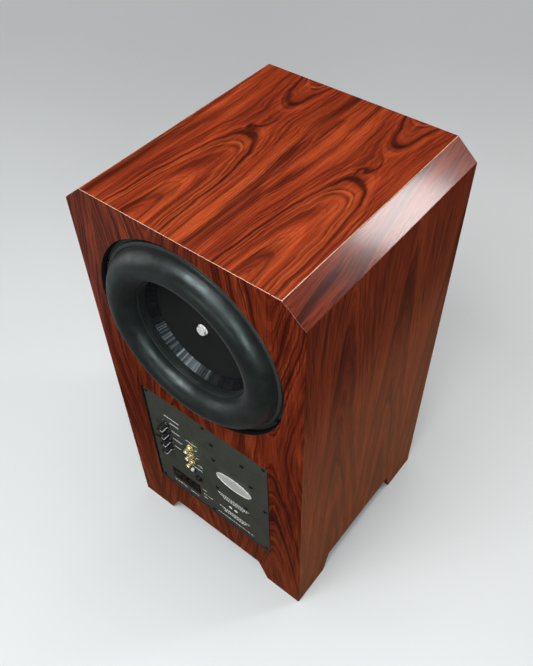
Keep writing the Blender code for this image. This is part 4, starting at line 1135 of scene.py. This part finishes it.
PLATE_DEPTH = 0.0030
WELL_X, WELL_Z, WELL_WIDE, WELL_TALL, WELL_DEPTH = -0.0625, 0.157, 0.067, 0.040, 0.0030
MODULE_WIDE, MODULE_TALL = 0.061, 0.034
LAMP = (-0.065, 0.364)
JACKS = ("left_input_jack", "right_input_jack", "lfe_input_jack")
KNOBS = ("level_knob", "lowpass_knob", "phase_knob", "contour_knob")
FIELD_PLACES = (
    (0.015, 0.349),
    (0.0155, 0.3066),
    (0.0765, 0.348),
    (0.0920, 0.3023),
    (0.0163, 0.220),
    (0.078, 0.2183),
)
INK = 0.00006
# Blank marks: where a row starts and ends, its height on the plate and how tall it is.
BARS = (
    (-0.0885, -0.0557, 0.3390, 0.0015),
    (-0.0780, -0.0580, 0.3255, 0.0015),
    (-0.0770, -0.0590, 0.3035, 0.0015),
    (-0.0770, -0.0560, 0.2820, 0.0015),
    (-0.0760, -0.0610, 0.2600, 0.0015),
    (-0.0450, -0.0210, 0.3060, 0.0015),
    (-0.0260, -0.0230, 0.2920, 0.0017),
    (-0.0255, -0.0210, 0.2696, 0.0017),
    (-0.0257, -0.0146, 0.2480, 0.0017),
    (-0.0376, -0.0160, 0.2345, 0.0015),
)
DASHED_ROWS = (
    (-0.0940, -0.0640, 0.1330, 0.0016),
    (-0.0565, -0.0350, 0.1315, 0.0016),
    (-0.0230, -0.0130, 0.1710, 0.0017),
    (-0.0220, -0.0010, 0.1575, 0.0017),
    (-0.0216, -0.0130, 0.1465, 0.0017),
    (0.0155, 0.0835, 0.2065, 0.0020),
    (0.0200, 0.0790, 0.2013, 0.0020),
    (0.0260, 0.0730, 0.1961, 0.0020),
    (0.0155, 0.0830, 0.1600, 0.0019),
    (0.0230, 0.0760, 0.1552, 0.0019),
    (0.0260, 0.0720, 0.1504, 0.0019),
    (0.0100, 0.0910, 0.1330, 0.0016),
)


def drill(x, z, radius):
    corners = [(0.0, CLEAR), (radius, CLEAR), (radius, -CLEAR), (0.0, -CLEAR)]
    return lathe("drill", corners, on_plate(x, z), 32)


def build_plate():
    """The plate with its well and its holes."""
    outline = box_outline(PLATE_WIDTH, PLATE_HEIGHT, 0.0030)
    plate = prism("amp_plate_coated", outline, -PLATE_DEPTH, 0.0, on_plate(0.0, PLATE_MIDDLE))
    spot = on_plate(WELL_X, WELL_Z)
    tray = box_outline(WELL_WIDE + 0.004, WELL_TALL + 0.004, 0.003)
    cut(plate, prism("tray", tray, -WELL_DEPTH - 0.002, -0.0015, spot), operation="UNION")
    well = box_outline(WELL_WIDE, WELL_TALL, 0.0020)
    window = box_outline(MODULE_WIDE - 0.004, MODULE_TALL - 0.004, 0.001)
    slot = box_outline(0.0052, 0.0110, 0.0012, SWITCH_X, SWITCH_Z - 0.002)
    tools = [
        prism("well", well, -WELL_DEPTH, CLEAR, spot),
        prism("window", window, -2 * CLEAR, CLEAR, spot),
        prism("slot", slot, -CLEAR, CLEAR, PLATE),
        drill(*centre_of("trigger_jack"), 0.0045),
        drill(*LAMP, 0.0016),
    ]
    tools += [drill(*centre_of(name), 0.0045) for name in JACKS]
    tools += [drill(*centre_of(name), 0.0036) for name in KNOBS]
    cut(plate, *tools)
    soften(plate, 0.00035)
    settle(plate, "cabinet", "plate_grey", "amp_plate")


def build_plate_details():
    """The screws around the plate's edge and in its field, and the status lamp."""
    for index in range(8):
        node = f"plate_screw_{index + 1}"
        spot = on_plate(*centre_of(node)) @ spin(0.5 * index)
        screw(f"plate_cap_screw_{index + 1}", spot, PLATE_SCREW, node)
    for index, place in enumerate(FIELD_PLACES):
        screw(f"field_screw_{index + 1}", on_plate(*place) @ spin(0.8 * index), FIELD_SCREW)
    lens = [(0.0, 0.0012), (0.0009, 0.0011, 0.0004), (0.0015, 0.0004, 0.0005)]
    lens += [(0.0015, -0.004), (0.0, -0.004)]
    piece = lathe("status_lamp", lens, on_plate(*LAMP), 32)
    settle(piece, "cabinet", "black_plastic", materials=[LENS])


def bar(x_from, x_to, z, tall):
    """One thin printed bar."""
    long = abs(x_to - x_from)
    outline = box_outline(long, tall, min(tall, long) * 0.3, steps=2)
    return prism("bar", outline, 0.0, INK, on_plate((x_from + x_to) / 2, z))


def dashes(x_from, x_to, z, tall, gap=0.0011):
    """A blank row: bars of uneven length that hold no letters."""
    made = []
    at = x_from
    while at < x_to - 0.0008:
        end = min(at + float(RNG.uniform(0.0022, 0.0062)), x_to)
        made.append(bar(at, end, z, tall))
        at = end + gap
    return made


def dial_ticks(x, z):
    """Eleven ticks around a knob."""
    radius = 0.0088
    outline = box_outline(0.0011, 0.0004, 0.0001, steps=1)
    for tick in range(11):
        angle = math.radians(-240.0 + 30.0 * tick)
        spot = on_plate(x + radius * math.cos(angle), z + radius * math.sin(angle))
        yield prism("tick", outline, 0.0, INK, spot @ spin(angle))


def build_print():
    """Blank marks where the plate would carry text: rows of bars and dial ticks, no lettering."""
    marks = [bar(*row) for row in BARS]
    for row in DASHED_ROWS:
        marks += dashes(*row)
    for x in (0.0415, 0.0535):
        outline = box_outline(0.0075, 0.0060, 0.0030)
        marks.append(prism("blank", outline, 0.0, INK, on_plate(x, 0.1780)))
    for name in KNOBS:
        marks += dial_ticks(*centre_of(name))
    piece = merged("plate_blank_marks", marks)
    settle(piece, "cabinet", "white_plastic", materials=[WHITE_INK])


def build_knobs():
    """Knobs with a pointer line let into the end and down one side."""
    corners = [(0.0, 0.0160), (0.0050, 0.0160), (0.0053, 0.0158, 0.0001), (0.0065, 0.0158, 0.0008)]
    corners += [(0.0067, 0.0032, 0.0004), (0.0072, 0.0020, 0.0003), (0.0072, 0.0007, 0.0003)]
    corners += [(0.0030, 0.0007), (0.0030, -0.0060), (0.0, -0.0060)]
    for name in KNOBS:
        place = on_plate(*centre_of(name))
        knob = lathe(f"{name}_cap", corners, place, 72)
        groove = prism("groove", box_outline(0.0086, 0.0017, 0.0003, 0.0042), 0.0155, 0.02, place)
        side = prism("side", box_outline(0.0030, 0.0017, 0.0003, 0.0078), 0.0040, 0.02, place)
        cut(knob, groove, side)
        sharpen(knob)
        settle(knob, name, "black_plastic", name, materials=[KNOB_BLACK])
        end = prism("end", box_outline(0.0074, 0.00165, 0.0002, 0.0030), 0.0154, 0.01597, place)
        flank = prism("flank", box_outline(0.0004, 0.00165, 0.0001, 0.00658), 0.0042, 0.0159, place)
        pointer = merged(f"{name}_pointer", [end, flank])
        settle(pointer, name, "white_plastic")


def jack_nut(name, place):
    sides = 72
    wall = hexagon(0.0052, sides)
    rings = [(0.0043, 0.0004), (wall * 0.96, 0.0004), (wall, 0.0007), (wall, 0.0025)]
    rings += [(np.minimum(wall, 0.0054), 0.0029), (0.0043, 0.0029)]
    return ring_solid(name, rings, sides, place, True, 25.0)


def build_jack(name):
    """A phono socket: threaded barrel, nut, washer, white core and centre contact."""
    place = on_plate(*centre_of(name))
    barrel = [(0.0016, 0.0062), (0.0034, 0.0062), (0.0034, 0.0120, 0.0002), (0.0041, 0.0120, 0.0003)]
    barrel += [(0.0041, 0.0112, 0.0002), (0.0038, 0.0108, 0.0002), (0.0038, 0.0048)]
    barrel += [(0.0041, 0.0044, 0.0002), (0.0041, 0.0036), (0.0060, 0.0036, 0.0002)]
    barrel += [(0.0060, 0.0030, 0.0001), (0.0042, 0.0030), (0.0042, -0.0110, 0.0003), (0.0016, -0.0110)]
    settle(lathe(f"{name}_barrel", barrel, place, 64), "cabinet", "gold", name)
    settle(jack_nut(f"{name}_nut", place), "cabinet", "gold")
    washer = [(0.0043, 0.00005), (0.0066, 0.00005), (0.0066, 0.0004, 0.0001), (0.0043, 0.0004)]
    settle(lathe(f"{name}_washer", washer, place, 64), "cabinet", "gold")
    core = [(0.0013, 0.0060), (0.0013, 0.0110, 0.0002), (0.0033, 0.0110, 0.0003), (0.0033, 0.0063)]
    settle(lathe(f"{name}_insulator", core, place, 48), "cabinet", "white_plastic")
    contact = [(0.0008, 0.0058), (0.0012, 0.0058), (0.0012, 0.0108, 0.0001), (0.0008, 0.0108, 0.0001)]
    settle(lathe(f"{name}_contact", contact, place, 32), "cabinet", "gold")


def build_jacks():
    for name in JACKS:
        build_jack(name)
    trigger = [(0.0018, -0.0040), (0.0018, 0.0044, 0.0004), (0.0026, 0.0050, 0.0002)]
    trigger += [(0.0042, 0.0050, 0.0004), (0.0042, 0.0030), (0.0072, 0.0030, 0.0004)]
    trigger += [(0.0072, 0.0003), (0.0042, 0.0003), (0.0042, -0.0110), (0.0018, -0.0110)]
    piece = lathe("trigger_socket", trigger, on_plate(*centre_of("trigger_jack")), 64)
    settle(piece, "cabinet", "black_plastic", "trigger_jack")


def build_switch():
    """The slide switch's ribbed lever in its bezel."""
    low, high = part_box("mode_switch")
    tip = PLATE_Y - low.y
    outline = box_outline(high.x - low.x, high.z - low.z, 0.0005)
    lever = prism("mode_switch_lever", outline, PLATE_Y - high.y, tip, on_plate(SWITCH_X, SWITCH_Z))
    rib = box_outline(0.01, 0.0005, 0.0001)
    places = [on_plate(SWITCH_X, SWITCH_Z + 0.0016 * step) for step in (-1, 0, 1)]
    cut(lever, *[prism("grip", rib, tip - 0.0004, tip + CLEAR, place) for place in places])
    soften(lever, 0.0002)
    settle(lever, "mode_switch", "white_plastic", "mode_switch")
    outline = box_outline(0.0090, 0.0150, 0.0012, SWITCH_X, SWITCH_Z - 0.002)
    bezel = prism("switch_bezel", outline, 0.00005, 0.0010, PLATE)
    hole = box_outline(0.0052, 0.0110, 0.0008, SWITCH_X, SWITCH_Z - 0.002)
    cut(bezel, prism("hole", hole, -CLEAR, CLEAR, PLATE))
    soften(bezel, 0.0002)
    settle(bezel, "cabinet", "black_plastic")


def inlet_outline(x):
    """The inlet's mouth: a rectangle with two corners cut off."""
    half, low, shoulder, top = 0.01225, -0.00475, 0.0071, 0.01175
    corners = [(x - half, low, 0.0015), (x + half, low, 0.0015), (x + half, shoulder, 0.0008)]
    corners += [(x + 0.0078, top, 0.0008), (x - 0.0078, top, 0.0008), (x - half, shoulder, 0.0008)]
    return rounded(corners)


def build_module():
    """The mains module: inlet with its pins, and the openings for fuse drawer and rocker."""
    floor = -WELL_DEPTH
    front = floor + 0.0023
    place = on_plate(WELL_X, WELL_Z)
    inlet_x = -0.0520 - WELL_X
    outline = box_outline(MODULE_WIDE, MODULE_TALL, 0.0015)
    module = prism("mains_module_body", outline, floor + 0.0003, front, place)
    body = box_outline(MODULE_WIDE - 0.0046, MODULE_TALL - 0.0046, 0.001)
    cut(module, prism("body", body, floor - 0.028, front - 0.001, place), operation="UNION")
    openings = (
        ("socket", inlet_outline(inlet_x), 0.016),
        ("drawer", box_outline(0.0225, 0.0062, 0.0005, inlet_x, 0.146 - WELL_Z), 0.018),
        ("rocker", box_outline(0.0126, 0.0206, 0.0008, -0.0815 - WELL_X), 0.013),
    )
    cut(module, *[prism(name, shape, floor - deep, 0.02, place) for name, shape, deep in openings])
    soften(module, 0.0003)
    settle(module, "cabinet", "black_plastic", "mains_module")
    for index, (x, z) in enumerate(((-0.007, 0.001), (0.0, 0.006), (0.007, 0.001))):
        outline = box_outline(0.0020, 0.0040, 0.0006, inlet_x + x, z)
        pin = prism(f"inlet_pin_{index + 1}", outline, floor - 0.0158, floor - 0.0015, place)
        soften(pin, 0.0004)
        settle(pin, "cabinet", "steel", materials=[CHROME])


def build_fuse_drawer():
    low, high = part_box("fuse_drawer")
    middle = centre_of("fuse_drawer")
    front = PLATE_Y - low.y
    outline = box_outline(high.x - low.x, high.z - low.z, 0.0004, *middle)
    fuse = prism("fuse_drawer_front", outline, PLATE_Y - high.y, front, PLATE)
    grip = box_outline(0.0120, 0.0018, 0.0006, *middle)
    cut(fuse, prism("grip", grip, front - 0.0009, CLEAR, PLATE))
    soften(fuse, 0.00025)
    settle(fuse, "fuse_drawer", "black_plastic", "fuse_drawer")


def build_rocker():
    """A dished rocker, tilted to its lower position. Its profile runs from back to front."""
    low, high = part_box("power_rocker")
    half = 0.0085
    corners = [(-0.0060, half, 0.0008), (-0.0050, half * 0.6, 0.004), (-0.0036, 0.0, 0.0100)]
    corners += [(-0.0050, -half * 0.6, 0.004), (-0.0060, -half, 0.0008), (0.0, -half, 0.0006)]
    corners += [(0.0040, -0.0030, 0.001), (0.0040, 0.0030, 0.001), (0.0, half, 0.0006)]
    wide = (high.x - low.x) / 2
    pivot = (centre_of("power_rocker")[0], PLATE_Y + WELL_DEPTH + 0.0015, WELL_Z)
    sideways = Matrix(((0, 0, 1, 0), (1, 0, 0, 0), (0, 1, 0, 0), (0, 0, 0, 1)))
    place = Matrix.Translation(pivot) @ Matrix.Rotation(math.radians(9.0), 4, "X") @ sideways
    rocker = prism("power_rocker_cap", rounded(corners, 5), -wide, wide, place)
    soften(rocker, 0.0003, 60.0)
    settle(rocker, "power_rocker", "black_plastic", "power_rocker")


def ellipse(wide, tall, sides):
    """The distance from the centre to an ellipse, all the way round."""
    turn = turn_of(sides)
    return wide * tall / np.sqrt((tall * np.cos(turn)) ** 2 + (wide * np.sin(turn)) ** 2)


def build_badge():
    """A blank oval with a raised rim and a slightly domed field."""
    low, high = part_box("badge_plate")
    wide = (high.x - low.x) / 2
    tall = (high.z - low.z) / 2
    sides = 160
    steps = [(0.0006, 0.0003), (0.0, 0.0006), (0.0, 0.0014), (0.0003, 0.0018), (0.0014, 0.0021)]
    steps += [(0.0022, 0.0018), (0.0025, 0.0014), (0.0034, 0.0013), (0.0040, 0.0014)]
    steps += [(0.0100, 0.0016), (0.0200, 0.0017)]
    rings = [(ellipse(wide - inset, tall - inset, sides), level) for inset, level in steps]
    place = on_plate(*centre_of("badge_plate"))
    badge = ring_solid("blank_oval_badge", rings, sides, place, False, 30.0)
    settle(badge, "cabinet", "silver_badge", "badge_plate")


# ---------------- what stays as packed


def dress_frame():
    """Every solid that is still shown gets the detailed material of its slot and soft edges."""
    slots = {part["node"]: part.get("material_slot") for part in frame["record"]["subparts"]}
    for name, node in frame["nodes"].items():
        if node.hide_render:
            continue
        material = SLOTS.get(slots.get(name), BOARD)
        for slot in node.material_slots:
            slot.material = material
        if not node.material_slots:
            node.data.materials.append(material)
        add_bevel(node, 0.0003, 50.0)


def build_wadding():
    """The lining, fluffed up from its plain solid."""
    source = frame["nodes"]["damping_blanket"]
    mesh = source.data.copy()
    piece = bpy.data.objects.new("wadding_lining", mesh)
    bpy.context.scene.collection.objects.link(piece)
    mesh.transform(source.matrix_world)
    bm = bmesh.new()
    bm.from_mesh(mesh)
    bmesh.ops.remove_doubles(bm, verts=bm.verts[:], dist=0.00001)
    bmesh.ops.subdivide_edges(bm, edges=bm.edges[:], cuts=5, use_grid_fill=True)
    bmesh.ops.triangulate(bm, faces=bm.faces[:])
    bm.normal_update()
    for vert in bm.verts:
        vert.co -= vert.normal * float(RNG.uniform(0.0002, 0.0016))
    bm.to_mesh(mesh)
    bm.free()
    mesh.shade_smooth()
    settle(piece, "cabinet", "wadding", "damping_blanket")


# ---------------- studio

FLOOR_HALF = 9.0
# The sky's colour and strength to other rays, to glossy rays and to the camera.
FILL_SKY = ((0.80, 0.86, 0.95), 0.16)
GLOSSY_SKY = ((0.92, 0.88, 0.76), 0.017)
CAMERA_SKY = ((0.82, 0.82, 0.81), 0.85)
# Soft boxes: place, target, width, height, power and colour.
LIGHTS = {
    "key_box": ((0.0, -1.15, 2.35), (0.0, -0.1, 0.6), 1.3, 0.8, 40.0, (0.95, 0.99, 1.0)),
    "overhead_box": ((0.1, 0.3, 2.9), (0.0, 0.0, 0.5), 1.4, 1.4, 30.0, (1.0, 1.0, 1.0)),
    "front_right_box": ((1.40, -1.30, 1.30), (0.1, -0.2, 0.6), 0.55, 1.1, 15.5, (0.90, 0.98, 1.0)),
    "rear_right_box": ((1.24, 1.36, 1.60), (0.17, 0.03, 0.74), 0.28, 0.34, 7.6, (1.0, 0.94, 0.93)),
    "left_box": ((-2.0, -0.9, 0.95), (0.0, -0.2, 0.5), 1.2, 1.6, 9.0, (1.0, 1.0, 1.0)),
    "low_front_box": ((-0.10, -2.10, 0.62), (0.0, -0.2, 0.5), 1.2, 0.25, 3.2, (0.90, 0.97, 1.0)),
}
# The camera, solved from the photograph's view of the box's corners.
SENSOR_WIDTH = 36.0
FOCAL_SHARE = 725.0 / 666.0
CAMERA_PLACE = (0.48017, -0.60053, 1.30202)
CAMERA_RIGHT = (0.78203638, 0.62287275, -0.02118085)
CAMERA_DOWN = (0.45575366, -0.59473313, -0.66225457)
CAMERA_AHEAD = (-0.42509728, 0.50825391, -0.74897948)


def build_floor():
    outline = [(-FLOOR_HALF, -FLOOR_HALF, 0), (FLOOR_HALF, -FLOOR_HALF, 0)]
    outline += [(FLOOR_HALF, FLOOR_HALF, 0), (-FLOOR_HALF, FLOOR_HALF, 0)]
    floor = from_lists("studio_floor", outline, [(0, 1, 2, 3)], Matrix.Identity(4))
    floor.data.materials.append(floor_material())


def build_world():
    """A pale sky for the camera, a soft fill for the rest and almost none for glossy rays."""
    world = bpy.data.worlds.new("studio")
    bpy.context.scene.world = world
    world.use_nodes = True
    tree = world.node_tree
    tree.nodes.clear()
    output = tree.nodes.new("ShaderNodeOutputWorld")
    path = tree.nodes.new("ShaderNodeLightPath")

    def sky(colour, strength):
        made = tree.nodes.new("ShaderNodeBackground")
        made.inputs[0].default_value = (*colour, 1.0)
        made.inputs[1].default_value = strength
        return made.outputs[0]

    def choose(ray, other, own):
        made = tree.nodes.new("ShaderNodeMixShader")
        for index, source in enumerate((path.outputs[ray], other, own)):
            tree.links.new(source, made.inputs[index])
        return made.outputs[0]

    soft = choose("Is Glossy Ray", sky(*FILL_SKY), sky(*GLOSSY_SKY))
    tree.links.new(choose("Is Camera Ray", soft, sky(*CAMERA_SKY)), output.inputs[0])


def soft_box(name, place, target, wide, tall, power, colour):
    light = bpy.data.lights.new(name, "AREA")
    light.shape = "RECTANGLE"
    light.size = wide
    light.size_y = tall
    light.energy = power
    light.color = colour
    made = bpy.data.objects.new(name, light)
    made.location = place
    made.rotation_euler = (Vector(target) - Vector(place)).to_track_quat("-Z", "Y").to_euler()
    bpy.context.scene.collection.objects.link(made)


def build_camera():
    data = bpy.data.cameras.new("camera")
    data.sensor_width = SENSOR_WIDTH
    data.lens = FOCAL_SHARE * SENSOR_WIDTH
    made = bpy.data.objects.new("camera", data)
    axes = (Vector(CAMERA_RIGHT), -Vector(CAMERA_DOWN), -Vector(CAMERA_AHEAD))
    made.matrix_world = Matrix.Translation(CAMERA_PLACE) @ Matrix(axes).transposed().to_4x4()
    bpy.context.scene.collection.objects.link(made)
    bpy.context.scene.camera = made


build_cabinet()
build_radiator()
build_driver()
build_plate()
build_plate_details()
build_print()
build_knobs()
build_jacks()
build_switch()
build_module()
build_fuse_drawer()
build_rocker()
build_badge()
build_wadding()
dress_frame()
build_floor()
build_world()
for light_name, settings in LIGHTS.items():
    soft_box(light_name, *settings)
build_camera()
bpy.context.scene.view_settings.view_transform = "Standard"
